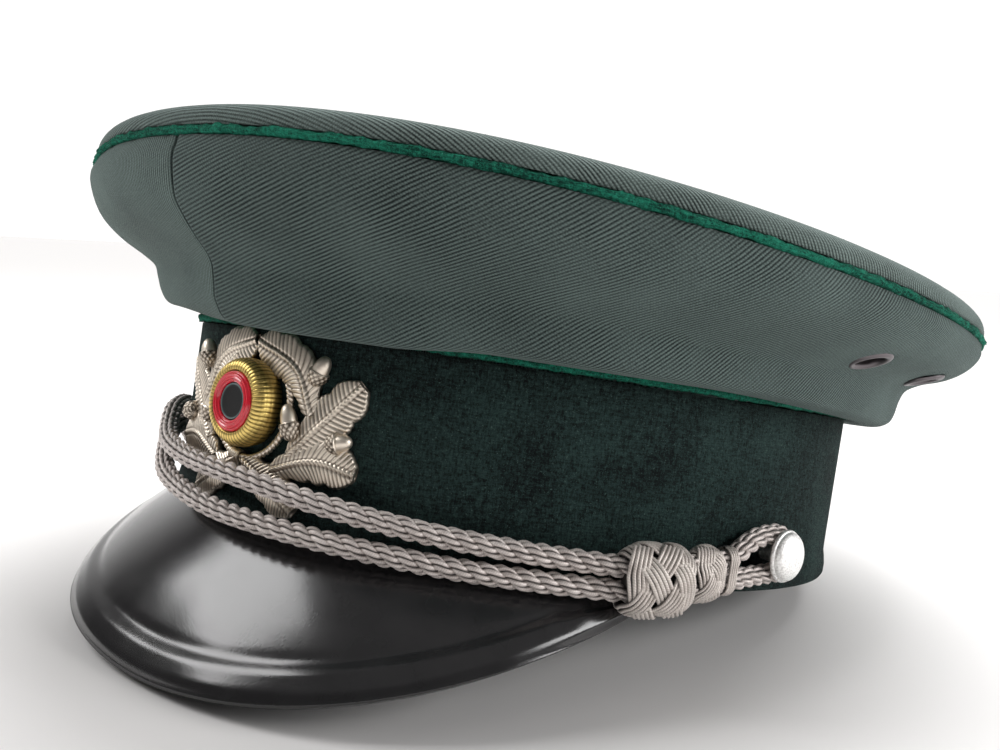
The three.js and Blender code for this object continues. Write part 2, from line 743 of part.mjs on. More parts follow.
// Button: a domed head on a shank, standing over the cord's loop
function button(hand) {
  const angle = hand * buttonAngle;
  const under = cordBed + cordRadius + clearance;
  const profile = [
    [0, clearance],
    [shankRadius, clearance],
    [shankRadius, under],
    [buttonRadius * 0.94, under],
    [buttonRadius, under + buttonRim * 0.6],
    [buttonRadius * 0.9, under + buttonRim],
    [buttonRadius * 0.55, under + buttonRim + buttonDome * 0.7],
    [0, under + buttonRim + buttonDome],
  ];
  return turned(profile, onBand(angle, 0, buttonHeight), bandOutward(angle), turnedSides.button);
}

// The pieces

const finishes = {
  twill: { color: 0x4a5a58, roughness: 0.9, metalness: 0 },
  melton: { color: 0x14302a, roughness: 1, metalness: 0 },
  felt: { color: 0x00795a, roughness: 1, metalness: 0 },
  lacquer: { color: 0x0c0d0e, roughness: 0.2, metalness: 0 },
  silver: { color: 0xb9b1a6, roughness: 0.35, metalness: 1 },
  braid: { color: 0xa7a19d, roughness: 0.5, metalness: 0.6 },
  gold: { color: 0x9a7b33, roughness: 0.4, metalness: 1 },
  red: { color: 0xc0142a, roughness: 0.3, metalness: 0 },
  black: { color: 0x101214, roughness: 0.4, metalness: 0 },
  gunmetal: { color: 0x2d2b2c, roughness: 0.4, metalness: 1 },
};

const cap = new THREE.Group();

function add(name, geometry, finish) {
  const mesh = new THREE.Mesh(geometry, new THREE.MeshStandardMaterial(finishes[finish]));
  mesh.name = name;
  cap.add(mesh);
  return mesh;
}

const rowsOfEyelets = [
  { place: 'front', angle: eyeletFrontAngle },
  { place: 'back', angle: eyeletBackAngle },
];

const bandMesh = add('band', bandSolid(), 'melton');
const peakMesh = add('peak', peakSolid(), 'lacquer');
add('band_piping', bandPiping(), 'felt');
add('crown_piping', crownPiping(), 'felt');
add('crown_top', crownTop(), 'twill');
for (const [side, hand] of [['left', 1], ['right', -1]]) {
  const angles = rowsOfEyelets.map(({ angle }) => hand * angle);
  add(`crown_side_${side}`, cut(crownPanel(hand), angles.map(eyeletCut)), 'twill');
  for (const { place, angle } of rowsOfEyelets) {
    add(`eyelet_${side}_${place}`, eyelet(hand * angle), 'gunmetal');
  }
  add(`button_${side}`, button(hand), 'silver');
}
add('wreath', wreathSolid(), 'silver');
add('cockade_rim', cockadeRim(), 'gold');
add('cockade_ring', cockadeRing(), 'red');
add('cockade_centre', cockadeCentre(), 'black');
add('chin_cord_upper', cordTube('upper', cordRadius), 'braid');
add('chin_cord_lower', cordTube('lower', cordRadius), 'braid');
for (const { side, large, small } of knotPlaces) {
  add(`knot_large_${side}`, knot(large, knotLargeLength, knotLargeTall, knotLargeDeep), 'braid');
  add(`knot_small_${side}`, knot(small, knotSmallLength, knotSmallTall, knotSmallDeep), 'braid');
}

// The cap stands on the peak's tip and on the back of the band's foot

function lowest(mesh, tilt) {
  const points = mesh.geometry.attributes.position;
  const height = (i) => points.getZ(i) * Math.cos(tilt) - points.getY(i) * Math.sin(tilt);
  return Math.min(...range(points.count).map(height));
}

function restTilt() {
  let [low, high] = [0, Math.PI / 4];
  while (high - low > 1e-6) {
    const middle = (low + high) / 2;
    if (lowest(peakMesh, middle) < lowest(bandMesh, middle)) low = middle;
    else high = middle;
  }
  return low;
}

const tilt = restTilt();
const stand = new THREE.Group();
stand.add(cap);
cap.rotation.x = -tilt;
stand.updateMatrixWorld(true);
const solids = new THREE.Box3();
for (const mesh of cap.children) {
  if (!/^(chin_cord|knot)_/.test(mesh.name)) solids.expandByObject(mesh, true);
}
const middle = solids.getCenter(new THREE.Vector3());
cap.position.set(-middle.x, -middle.y, -solids.min.z);

export default stand;
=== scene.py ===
import json
import math

import bmesh
import bpy
import numpy as np
from mathutils import Matrix, Vector


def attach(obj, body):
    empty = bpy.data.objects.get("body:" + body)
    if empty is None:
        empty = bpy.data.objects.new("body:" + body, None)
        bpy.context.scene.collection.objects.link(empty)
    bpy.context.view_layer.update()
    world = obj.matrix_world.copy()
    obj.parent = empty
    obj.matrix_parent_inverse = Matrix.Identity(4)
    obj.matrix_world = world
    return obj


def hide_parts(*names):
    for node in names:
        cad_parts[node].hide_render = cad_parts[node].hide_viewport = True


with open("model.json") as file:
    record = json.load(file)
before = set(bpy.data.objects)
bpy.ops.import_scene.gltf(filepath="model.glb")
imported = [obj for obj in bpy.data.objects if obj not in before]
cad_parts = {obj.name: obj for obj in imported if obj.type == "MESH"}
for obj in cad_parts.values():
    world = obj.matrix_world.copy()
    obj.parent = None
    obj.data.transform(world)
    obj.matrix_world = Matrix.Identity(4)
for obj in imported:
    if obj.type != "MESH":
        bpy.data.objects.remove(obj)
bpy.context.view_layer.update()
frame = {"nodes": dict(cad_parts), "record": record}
nodes = frame["nodes"]
print("frame loaded:", len(nodes), "nodes")


# Places on the cap. Lengths are millimetres on the level cap: its front at -Y, the wearer's left at +X,
# the band's foot at height 0. Angles are degrees from the front towards the wearer's left.

cap = {
    "bandAcross": 177.2, "bandAlong": 202.2, "bandHeight": 44.9, "bandWall": 3.0, "bandFlare": 0.5,
    "bandBead": 0.8, "bandBeadHeight": 6.5, "bandPiping": 1.8,
    "crownAcross": 242.0, "crownAlong": 263.4, "crownForward": 0.7, "crownHeight": 75.6,
    "crownLean": 5.3, "crownSaddle": 6.45, "crownPiping": 2.5, "gap": 0.3,
}

footMount = next(mount for mount in frame["record"]["mounts"] if mount["name"] == "band_foot")
leanSine, leanCosine = -footMount["axis"][1], -footMount["axis"][2]  # the resting cap leans back
footMiddle = (cap["bandAlong"] - cap["bandWall"]) / 2000
shiftAlong = footMount["pos_m"][1] - leanCosine * footMiddle
shiftUp = footMount["pos_m"][2] + leanSine * footMiddle


def leaned(vectors):  # turns directions from the level cap to the resting one
    x, y, z = np.moveaxis(np.asarray(vectors, float), -1, 0)
    return joined(x, leanCosine * y + leanSine * z, leanCosine * z - leanSine * y)


def toFrame(points):  # millimetres on the level cap to metres in the frame
    return leaned(np.asarray(points, float) / 1000) + (0, shiftAlong, shiftUp)


def toCap(points):  # and back
    x, y, z = np.moveaxis(np.asarray(points, float) - (0, shiftAlong, shiftUp), -1, 0)
    return 1000 * joined(x, leanCosine * y - leanSine * z, leanCosine * z + leanSine * y)


def sine(angle):
    return np.sin(np.radians(angle))


def cosine(angle):
    return np.cos(np.radians(angle))


def unit(vectors):
    return vectors / np.linalg.norm(vectors, axis=-1, keepdims=True)


def ease(value, low, high):
    share = np.clip((value - low) / (high - low), 0, 1)
    return share * share * (3 - 2 * share)


def mix(first, second, share):
    return first + (second - first) * share


def joined(*numbers):  # numbers side by side in a last axis, spread to one shape
    return np.stack(np.broadcast_arrays(*numbers), -1)


def runAlong(points, closes=False):  # length from the first point to each one, and back to the first
    points = np.concatenate([points, points[:1]]) if closes else points
    steps = np.linalg.norm(np.diff(points, axis=0), axis=-1)
    return np.concatenate([np.zeros((1, *steps.shape[1:])), np.cumsum(steps, 0)])


def squareTo(way, vectors):  # unit vectors, turned square to the way
    return unit(vectors - (vectors * way).sum(-1, keepdims=True) * way)


def oval(across, along, forward, angle, up):  # points on an oval ring, and their outward directions
    points = joined(across / 2 * sine(angle), -along / 2 * cosine(angle) - forward, up)
    out = joined(sine(angle) / across, -cosine(angle) / along, 0)
    return points, unit(out)


def onBand(angle, offset, up):
    grow = 2 * cap["bandFlare"] * np.asarray(up, float) / cap["bandHeight"]
    points, out = oval(cap["bandAcross"] + grow, cap["bandAlong"] + grow, 0, angle, up)
    return points + out * np.asarray(offset, float)[..., None]


def bandOut(angle):
    return oval(cap["bandAcross"], cap["bandAlong"], 0, angle, 0.0)[1]


def crownEdge(angle):  # height of the wide piping
    lean = cap["crownLean"] * cosine(angle)
    return cap["crownHeight"] + lean - cap["crownSaddle"] * sine(angle) ** 2


def onCrown(angle, share, up):  # between the band's top, share 0, and the wide piping, 1
    inner = onBand(angle, 0, cap["bandHeight"])
    outer = oval(cap["crownAcross"], cap["crownAlong"], cap["crownForward"], angle, up)[0]
    points = mix(inner, outer, np.asarray(share, float)[..., None])
    points[..., 2] = up
    return points


arcAngles = np.linspace(-180, 180, 1441)
arcLengths = runAlong(onBand(arcAngles, 0, 0.0))
arcLengths -= arcLengths[len(arcLengths) // 2]


def angleAt(length):  # the angle at a length along the band from the front
    return np.interp(length, arcLengths, arcAngles)


def centreOf(node):  # middle and thin axis of a turned CAD node, on the cap
    corners = toCap(np.array([vertex.co for vertex in nodes[node].data.vertices]))
    middle = corners.mean(0)
    axis = np.linalg.svd(corners - middle)[2][2]
    return middle, axis * np.sign(axis @ (middle * (1, 1, 0)))


def addObject(name, data):
    made = bpy.data.objects.new(name, data)
    bpy.context.scene.collection.objects.link(made)
    return made


def weldDoubles(mesh):
    tidy = bmesh.new()
    tidy.from_mesh(mesh)
    bmesh.ops.remove_doubles(tidy, verts=tidy.verts, dist=1e-7)
    tidy.to_mesh(mesh)
    tidy.free()


# Meshes from grids of points

class Shape:  # gathers grids of points into one mesh
    def __init__(self):
        self.points, self.faces, self.spots, self.relief, self.count = [], [], [], [], 0

    def grid(self, points, rowsClose=False, columnsClose=False, flip=False, spots=None, relief=None,
             keep=None):
        rows, columns = points.shape[:2]
        i = np.arange(rows if rowsClose else rows - 1)[:, None]
        j = np.arange(columns if columnsClose else columns - 1)[None, :]
        below, beside = (i + 1) % rows * columns, (j + 1) % columns
        ring = [i * columns + j, below + j, below + beside, i * columns + beside]
        if spots is None:
            spots = np.zeros((i.size + 1, j.size + 1, 2))
        marks = [spots[:-1, :-1], spots[1:, :-1], spots[1:, 1:], spots[:-1, 1:]]
        if flip:
            ring, marks = ring[::-1], marks[::-1]
        faces = joined(*ring).reshape(-1, 4) + self.count
        marks = np.stack(marks, 2).reshape(-1, 4, 2)
        if keep is not None:
            faces, marks = faces[keep.ravel()], marks[keep.ravel()]
        self.faces += faces.tolist()
        self.spots.append(marks.reshape(-1, 2))
        self.points.append(points.reshape(-1, 3))
        self.relief.append(np.ones(rows * columns) if relief is None else np.ravel(relief))
        first, self.count = self.count, self.count + rows * columns
        return first

    def lid(self, corners):  # one flat face
        self.faces.append(list(corners))
        self.spots.append(np.zeros((len(corners), 2)))

    def tube(self, path, side, radius, sides, closes=False):
        way = unit(np.roll(path, -1, 0) - np.roll(path, 1, 0) if closes else np.gradient(path, axis=0))
        side = squareTo(way, side)
        turn = np.arange(sides)[:, None] * 360 / sides
        ring = side[:, None] * cosine(turn) + np.cross(way, side)[:, None] * sine(turn)
        spots = joined(runAlong(path, closes)[:, None], np.arange(sides + 1) / sides)
        first = self.grid(path[:, None] + radius * ring, closes, True, flip=True, spots=spots)
        if not closes:
            last = first + (len(path) - 1) * sides
            self.lid(range(first, first + sides))
            self.lid(range(last + sides - 1, last - 1, -1))

    def turned(self, profile, place, axis, sides, swell=None, spots=None, relief=None):
        # a lathe form: the profile's pairs are radius and height, and poles are welded later
        axis = unit(np.asarray(axis, float))
        side = unit(np.cross((0, 0, 1.0), axis))
        over = np.cross(axis, side)
        turn = np.arange(sides)[:, None] * 360 / sides
        reach, rise = (np.broadcast_to(row, (sides, len(row))) for row in np.asarray(profile, float).T)
        if swell is not None:
            reach, rise = swell(turn, reach, rise)
        points = place + (reach * cosine(turn))[..., None] * side + (reach * sine(turn))[..., None] * over
        self.grid(points + rise[..., None] * axis, rowsClose=True, spots=spots, relief=relief)

    def mesh(self, name, paint):
        mesh = bpy.data.meshes.new(name)
        mesh.from_pydata(toFrame(np.concatenate(self.points)).tolist(), [], self.faces)
        mesh.uv_layers.new(name="pattern").data.foreach_set("uv", np.concatenate(self.spots).ravel())
        relief = mesh.attributes.new("relief", "FLOAT", "POINT")
        relief.data.foreach_set("value", np.concatenate(self.relief))
        mesh.materials.append(paint)
        mesh.shade_smooth()
        return mesh

    def piece(self, name, paint, slot, *stood, weld=False, wall=0.0):
        mesh = self.mesh(name, paint)
        made = addObject(name, mesh)
        if weld:
            weldDoubles(mesh)
        if wall:
            solid = made.modifiers.new("wall", "SOLIDIFY")
            solid.thickness = wall / 1000
            solid.offset = -1
        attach(made, "root")
        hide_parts(*stood)
        return made


def smoothRoute(points, spacing):  # even steps on a smooth curve through chosen points
    points = np.asarray(points, float)
    whole = np.concatenate([[2 * points[0] - points[1]], points, [2 * points[-1] - points[-2]]])
    before, start, end, after = whole[:-3], whole[1:-2], whole[2:-1], whole[3:]
    first, second, third = (np.linalg.norm(b - a, axis=-1, keepdims=True) ** 0.5
                            for a, b in ((before, start), (start, end), (end, after)))
    leave = (start - before) / first - (end - before) / (first + second) + (end - start) / second
    reach = (end - start) / second - (after - start) / (second + third) + (after - end) / third
    leave, reach = leave * second, reach * second
    t = np.linspace(0, 1, 33)[:-1, None, None]
    curve = ((2 * t**3 - 3 * t**2 + 1) * start + (t**3 - 2 * t**2 + t) * leave
             + (3 * t**2 - 2 * t**3) * end + (t**3 - t**2) * reach)
    curve = np.concatenate([curve.transpose(1, 0, 2).reshape(-1, 3), points[-1:]])
    run = runAlong(curve)
    even = np.linspace(0, run[-1], round(run[-1] / spacing) + 1)
    return np.stack([np.interp(even, run, curve[:, k]) for k in range(3)], -1), even


def smoothColumns(points, steps):  # rounds each row of a grid through its own points
    first, last = 2 * points[:, :1] - points[:, 1:2], 2 * points[:, -1:] - points[:, -2:-1]
    edge = np.concatenate([first, points, last], 1)
    before, start, end, after = edge[:, :-3], edge[:, 1:-2], edge[:, 2:-1], edge[:, 3:]
    fine = []
    for t in np.arange(steps) / steps:
        fine.append(0.5 * (2 * start + (end - before) * t + (2 * before - 5 * start + 4 * end - after) * t**2
                           + (3 * start - before - 3 * end + after) * t**3))
    fine = np.stack(fine, 2).reshape(len(points), -1, points.shape[-1])
    return np.concatenate([fine, points[:, -1:]], 1)


# Materials

class Wire:  # a shader socket that takes part in sums
    def __init__(self, paint, socket):
        self.paint, self.socket = paint, socket

    def wave(self):  # 0 to 1 and back for each whole number
        return self.paint.node("ShaderNodeMath", {"operation": "SINE"}, {0: self * math.tau}) * 0.5 + 0.5


def joining(operation, swapped):
    def join(self, other):
        first, second = (other, self) if swapped else (self, other)
        return self.paint.node("ShaderNodeMath", {"operation": operation}, {0: first, 1: second})
    return join


for sign, operation in (("add", "ADD"), ("sub", "SUBTRACT"), ("mul", "MULTIPLY"), ("truediv", "DIVIDE")):
    setattr(Wire, f"__{sign}__", joining(operation, False))
    setattr(Wire, f"__r{sign}__", joining(operation, True))


class Nodes:  # makes and joins nodes in one tree
    def __init__(self, tree):
        self.tree = tree

    def node(self, kind, settings=None, sockets=None, out=0):
        made = self.tree.nodes.new(kind)
        for key, value in (settings or {}).items():
            setattr(made, key, value)
        for key, value in (sockets or {}).items():
            self.feed(made.inputs[key], value)
        return Wire(self, made.outputs[out])

    def feed(self, socket, value):
        if isinstance(value, Wire):
            self.tree.links.new(value.socket, socket)
        else:
            socket.default_value = value

    def split(self, vector):
        parts = self.node("ShaderNodeSeparateXYZ", {}, {0: vector})
        return [Wire(self, socket) for socket in parts.socket.node.outputs]

    def vector(self, x, y, z=0.0):
        return self.node("ShaderNodeCombineXYZ", {}, {0: x, 1: y, 2: z})

    def noise(self, vector, scale, detail=2.0, roughness=0.5):
        sockets = {"Vector": vector, "Scale": scale, "Detail": detail, "Roughness": roughness}
        return self.node("ShaderNodeTexNoise", {}, sockets)

    def blend(self, first, second, share):
        return self.node("ShaderNodeMix", {"data_type": "RGBA"}, {0: share, 6: first, 7: second}, out=2)

    def span(self, value, low, high, newLow=0.0, newHigh=1.0):
        sockets = {0: value, 1: low, 2: high, 3: newLow, 4: newHigh}
        return self.node("ShaderNodeMapRange", {"clamp": True}, sockets)


class Paint(Nodes):  # a material whose constants sit on the shader itself
    def __init__(self, name, **constants):
        self.material = bpy.data.materials.new(name)
        self.material.use_nodes = True
        super().__init__(self.material.node_tree)
        self.shader = self.tree.nodes["Principled BSDF"]
        for socket, value in constants.items():
            self.shader.inputs[socket.replace("_", " ")].default_value = value

    def place(self):  # place on the piece, in millimetres
        spot = self.node("ShaderNodeTexCoord", out="Object")
        return self.node("ShaderNodeVectorMath", {"operation": "SCALE"}, {0: spot, "Scale": 1000.0})

    def pattern(self):  # the piece's own map, as two numbers
        spot = self.node("ShaderNodeUVMap", {"uv_map": "pattern"})
        return self.split(spot)[:2]

    def relief(self):
        return self.node("ShaderNodeAttribute", {"attribute_name": "relief"}, out="Fac")

    def bump(self, height, depth, strength=1.0):
        sockets = {"Height": height, "Distance": depth / 1000, "Strength": strength}
        return self.node("ShaderNodeBump", {}, sockets)

    def finish(self, **results):
        for socket, value in results.items():
            self.feed(self.shader.inputs[socket.replace("_", " ")], value)
        return self.material


def rgb(red, green, blue):  # a screen colour, 0 to 255, as light
    return (*(((channel / 255 + 0.055) / 1.055) ** 2.4 for channel in (red, green, blue)), 1.0)


# Nap: short fibres that stand off the cloth, grown by geometry nodes

# slot, number of fibres, length and width in millimetres, how far they lean, seed
naps = {
    "band_nap": ("melton", 9000, 1.3, 0.15, 1.1, 1),
    "band_piping_nap": ("piping_felt", 4000, 0.8, 0.12, 0.9, 5),
    "crown_piping_nap": ("piping_felt", 4000, 0.8, 0.12, 0.9, 6),
    "crown_nap": ("twill", 24000, 1.7, 0.2, 1.1, 2),
}
fibreShares = (0.35, 1.3)  # the shortest and the longest fibre, as shares of the length


def napTree():
    tree = bpy.data.node_groups.new("nap", "GeometryNodeTree")
    kinds = {"Geometry": "Geometry", "Density": "Float", "Length": "Float", "Width": "Float", "Lean": "Float",
             "Seed": "Int", "Finish": "Material"}
    for name, kind in kinds.items():
        tree.interface.new_socket(name, in_out="INPUT", socket_type="NodeSocket" + kind)
    tree.interface.new_socket("Geometry", in_out="OUTPUT", socket_type="NodeSocketGeometry")
    nap = Nodes(tree)
    value = {socket.name: Wire(nap, socket) for socket in tree.nodes.new("NodeGroupInput").outputs}
    spread = nap.node("GeometryNodeDistributePointsOnFaces", {},
                      {"Mesh": value["Geometry"], "Density": value["Density"], "Seed": value["Seed"]})
    normal = Wire(nap, spread.socket.node.outputs["Normal"])
    wander = nap.node("FunctionNodeRandomValue", {"data_type": "FLOAT_VECTOR"},
                      {0: (-1, -1, -1), 1: (1, 1, 1), "Seed": value["Seed"]})
    lean = nap.node("ShaderNodeVectorMath", {"operation": "SCALE"}, {0: wander, "Scale": value["Lean"]})
    way = nap.node("ShaderNodeVectorMath", {"operation": "ADD"}, {0: normal, 1: lean})
    stand = nap.node("FunctionNodeAlignRotationToVector", {"axis": "Z"}, {"Vector": way})
    sockets = {"Vertices": 3, "Radius Top": 0.0, "Radius Bottom": value["Width"] / 2,
               "Depth": value["Length"]}
    blade = nap.node("GeometryNodeMeshCone", {"fill_type": "NGON"}, sockets)
    tall = nap.node("FunctionNodeRandomValue", {"data_type": "FLOAT"},
                    {2: fibreShares[0], 3: fibreShares[1], "Seed": 5})
    sockets = {"Points": spread, "Instance": blade, "Rotation": stand, "Scale": nap.vector(1.0, 1.0, tall)}
    fibres = nap.node("GeometryNodeInstanceOnPoints", {}, sockets)
    real = nap.node("GeometryNodeRealizeInstances", {}, {"Geometry": fibres})
    done = nap.node("GeometryNodeSetMaterial", {}, {"Geometry": real, "Material": value["Finish"]})
    tree.links.new(done.socket, tree.nodes.new("NodeGroupOutput").inputs[0])
    return tree


def growNap(name, meshes, finish):
    slot, count, length, width, lean, seed = naps[name]
    whole = bmesh.new()
    for mesh in meshes:
        whole.from_mesh(mesh)
    area = sum(face.calc_area() for face in whole.faces)
    ground = bpy.data.meshes.new(name)
    whole.to_mesh(ground)
    whole.free()
    made = addObject(name, ground)
    modifier = made.modifiers.new("nap", "NODES")
    modifier.node_group = napGroup
    inputs = {"Density": count / area, "Length": length / 1000, "Width": width / 1000, "Lean": lean,
              "Seed": seed, "Finish": finish}
    for item in napGroup.interface.items_tree:
        if item.in_out == "INPUT" and item.name in inputs:
            modifier[item.identifier] = inputs[item.name]
    grown = bpy.data.meshes.new_from_object(made.evaluated_get(bpy.context.evaluated_depsgraph_get()))
    made.modifiers.remove(modifier)
    made.data = grown
    if not grown.materials:
        grown.materials.append(finish)
    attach(made, "root")
    print(name, "has", len(grown.polygons) // 4, "fibres")


def fibrePaint(name, light, dark):
    paint = Paint(name, Roughness=0.8, Sheen_Weight=0.3, Specular_IOR_Level=0.2)
    tone = paint.noise(paint.place(), 1.5, 1.0)
    return paint.finish(Base_Color=paint.blend(rgb(*dark), rgb(*light), tone))


napGroup = napTree()


# Camera and light

eye = {"place": (184.9, -250.6, 40.7), "azimuth": 38.24, "elevation": -0.21, "roll": 8.61, "lens": 36.85,
       "sensor": 36, "nearest": 0.01}


def makeCamera():
    azimuth, elevation, roll = eye["azimuth"], eye["elevation"], eye["roll"]
    flat = np.array([cosine(azimuth), sine(azimuth), 0.0])
    forward = np.array([-flat[1] * cosine(elevation), flat[0] * cosine(elevation), -sine(elevation)])
    plumb = np.cross(flat, forward)
    right = flat * cosine(roll) + plumb * sine(roll)
    up = plumb * cosine(roll) - flat * sine(roll)
    turn = Matrix(joined(leaned(right), leaned(up), -leaned(forward)).tolist())
    made = addObject("camera", bpy.data.cameras.new("camera"))
    made.matrix_world = Matrix.Translation(Vector(toFrame(eye["place"]))) @ turn.to_4x4()
    made.data.lens, made.data.sensor_width, made.data.clip_start = eye["lens"], eye["sensor"], eye["nearest"]
    bpy.context.scene.camera = made


# Each lamp: azimuth from the front towards the wearer's left and elevation, in degrees, its distance,
# width and height in metres, and its power in watts
lamps = {
    "window": (-54, 42, 1.4, (0.58, 0.74), 10.5),
    "doorway": (108, 20, 1.4, (0.8, 0.5), 13.0),
    "ceiling": (118, 73, 1.2, (0.17, 0.13), 0.9),
}
sun = {"azimuth": 190, "elevation": 55, "strength": 3.6, "angle": 50}
# The room's glow: the pale wall behind the cap, the rest of the room and the ceiling, and where one turns
# into the other. The floor's reach and the place that the lamps aim at are in metres.
room = {
    "wall": 1.1, "rest": 0.09, "ceiling": 0.26, "wallWay": (-0.619, 0.785), "turnsAt": (0.42, 0.72),
    "tint": (1, 0.99, 0.985, 1), "lampsAimAt": (0, -0.04, 0.05), "floor": rgb(228, 226, 225),
    "floorReach": 12.0,
}


def makeLight():
    world = bpy.data.worlds.new("surroundings")
    bpy.context.scene.world = world
    world.use_nodes = True
    sky = Nodes(world.node_tree)
    x, y, z = sky.split(sky.node("ShaderNodeTexCoord", out="Generated"))
    behind = sky.span(x * room["wallWay"][0] + y * room["wallWay"][1], *room["turnsAt"])
    side = behind * (room["wall"] - room["rest"]) + room["rest"]
    high = sky.span(z, *room["turnsAt"])
    shade = world.node_tree.nodes["Background"]
    shade.inputs["Color"].default_value = room["tint"]
    sky.feed(shade.inputs["Strength"], side * (1 - high) + high * room["ceiling"])
    for name, (azimuth, elevation, away, size, power) in lamps.items():
        data = bpy.data.lights.new(name, "AREA")
        data.shape = "RECTANGLE"
        data.size, data.size_y = size
        data.energy = power
        level = away * cosine(elevation)
        at = Vector((level * sine(azimuth), -level * cosine(azimuth), away * sine(elevation)))
        made = addObject(name, data)
        made.location = Vector(room["lampsAimAt"]) + at
        made.rotation_euler = (-at).to_track_quat("-Z", "Y").to_euler()
    data = bpy.data.lights.new("sun", "SUN")
    data.energy, data.angle = sun["strength"], math.radians(sun["angle"])
    made = addObject("sun", data)
    made.rotation_euler = (math.radians(90 - sun["elevation"]), 0, math.radians(sun["azimuth"]))
    mesh = bpy.data.meshes.new("floor")
    reach = room["floorReach"]
    corners = [(-reach, -reach, 0), (reach, -reach, 0), (reach, reach, 0), (-reach, reach, 0)]
    mesh.from_pydata(corners, [], [(0, 1, 2, 3)])
    mesh.materials.append(Paint("floorPaper", Base_Color=room["floor"], Roughness=0.9).material)
    floor = addObject("floor", mesh)
    bpy.context.scene.view_settings.view_transform = "Standard"


makeCamera()
makeLight()
print("camera and light made")


# Cords: three strands of four plies, laid together

cord = {
    "width": 4.7, "lay": 11.1, "strands": 3, "plies": 4, "plyLay": 5.03, "spacing": 0.52, "sides": 7,
    "fullness": 1.08, "strandWidth": 2.72, "plyWidth": 1.08,
    "buttonAngle": 80.3, "buttonHeight": 9.7, "shank": 2.0, "loopTurns": (14, 32, 52, 71, 90),
}
cord["bed"] = cap["bandBead"] / 2 + cord["width"] / 2 + cap["gap"]
cord["loop"] = cord["width"] / 2 + cord["shank"] + cap["gap"]

# angle, height of the upper cord, height of the lower cord, how far both are lifted off the band
cordRoute = np.array([
    (-75.5, 15.0, 6.6, 0.4), (-71.5, 14.3, 8.9, 1.4), (-67, 14.9, 9.9, 2.4), (-62, 15.9, 10.8, 3.4),
    (-57, 16.9, 11.7, 3.4), (-50, 19.0, 13.2, 1.2), (-42, 20.9, 14.9, 0.4), (-34, 19.4, 13.4, 1.2),
    (-28, 16.0, 9.6, 1.8), (-20, 13.4, 6.2, 2.8), (-11, 12.0, 4.2, 3.2), (-2, 11.4, 2.7, 3.2),
    (7, 10.5, 2.2, 3.2), (16, 9.1, 1.8, 3.0), (24, 7.9, 1.3, 2.4), (32, 6.9, 0.8, 1.8),
    (40, 6.3, 0.6, 1.9), (48, 5.9, 0.6, 2.6), (53, 5.9, 0.8, 4.0), (57.6, 6.2, 1.0, 4.7),
    (62, 6.9, 1.7, 4.0), (66, 7.9, 2.8, 2.4), (70.5, 8.5, 3.3, 1.1), (75, 12.9, 4.3, 0.3),
])


def cordPoints(column, rising):
    degree = np.linalg.norm(onBand(cord["buttonAngle"], 0, 0.0) - onBand(cord["buttonAngle"] + 1, 0, 0.0))
    turns = np.array(cord["loopTurns"])

    def loop(hand):  # the quarter turn round a button's shank
        angle = cord["buttonAngle"] + cord["loop"] * cosine(turns) / degree
        return onBand(hand * angle, cord["bed"], cord["buttonHeight"] + rising * cord["loop"] * sine(turns))

    free = onBand(cordRoute[:, 0], cord["bed"] + cordRoute[:, 3], cordRoute[:, column])
    return np.concatenate([loop(-1), free, loop(1)[::-1]])


def outwardAt(points):  # the band's outward direction beside any points
    angle = np.degrees(np.arctan2(points[:, 0] / cap["bandAcross"], -points[:, 1] / cap["bandAlong"]))
    return bandOut(angle)


def makeCord(name, column, rising, paint):
    path, run = smoothRoute(cordPoints(column, rising), cord["spacing"])
    way = unit(np.gradient(path, axis=0))
    out = squareTo(way, outwardAt(path))
    down = np.cross(way, out)
    width, strandWidth, plyWidth = cord["width"] * cord["fullness"], cord["strandWidth"], cord["plyWidth"]
    shape = Shape()
    for strand in range(cord["strands"]):
        turn = (360 * (run / cord["lay"] + strand / cord["strands"]))[:, None]
        lead = cosine(turn) * out + sine(turn) * down
        middle = path + lead * (width - strandWidth) / 2
        beside = np.cross(unit(np.gradient(middle, axis=0)), lead)
        for ply in range(cord["plies"]):
            twist = (-360 * (run / cord["plyLay"] + ply / cord["plies"]))[:, None]
            radial = cosine(twist) * lead + sine(twist) * beside
            shape.tube(middle + radial * (strandWidth - plyWidth) / 2, radial, plyWidth / 2, cord["sides"])
    made = shape.piece(name, paint, "braid", name)
    length = run[-1] / 1000
    print(name, "is", round(length, 4), "m long")
    return made, toFrame(path[::6]), length


def yarnPaint(name, light, dark, threads):
    paint = Paint(name, Sheen_Weight=0.15, Sheen_Roughness=0.4, Metallic=0.3)
    along, around = paint.pattern()
    twist = (along * threads + around * 2).wave()
    place = paint.place()
    patch = paint.noise(place, 0.35, 3.0)
    fine = paint.noise(place, 9.0, 2.0)
    tone = paint.span(patch * 0.6 + fine * 0.4 + twist * 0.15, 0.25, 0.8)
    # painted shade: each yarn is darkened towards its inward side, where it lies against the others, down to
    # a dark gap colour
    paintedLight = paint.span((around + 0.25).wave(), 0.2, 0.8)
    colour = paint.blend(rgb(44, 40, 38), paint.blend(rgb(*dark), rgb(*light), tone), paintedLight)
    normal = paint.bump(twist * 0.5 + fine * 0.6, 0.05, 0.8)
    return paint.finish(Base_Color=colour, Normal=normal, Roughness=paint.span(fine, 0, 1, 0.36, 0.56))


braidPaint = yarnPaint("silverBraid", (228, 219, 214), (150, 138, 132), 2.2)
knotPaint = yarnPaint("silverKnotYarn", (226, 218, 211), (156, 145, 138), 1.8)

upperCord, upperPath, upperLength = makeCord("chin_cord_upper", 1, 1, braidPaint)
lowerCord, lowerPath, lowerLength = makeCord("chin_cord_lower", 2, -1, braidPaint)


# Slide knots: a woven head of parallel yarns on a barrel. The small ones have a binding beside them,
# whose start and spacing are degrees along the band.

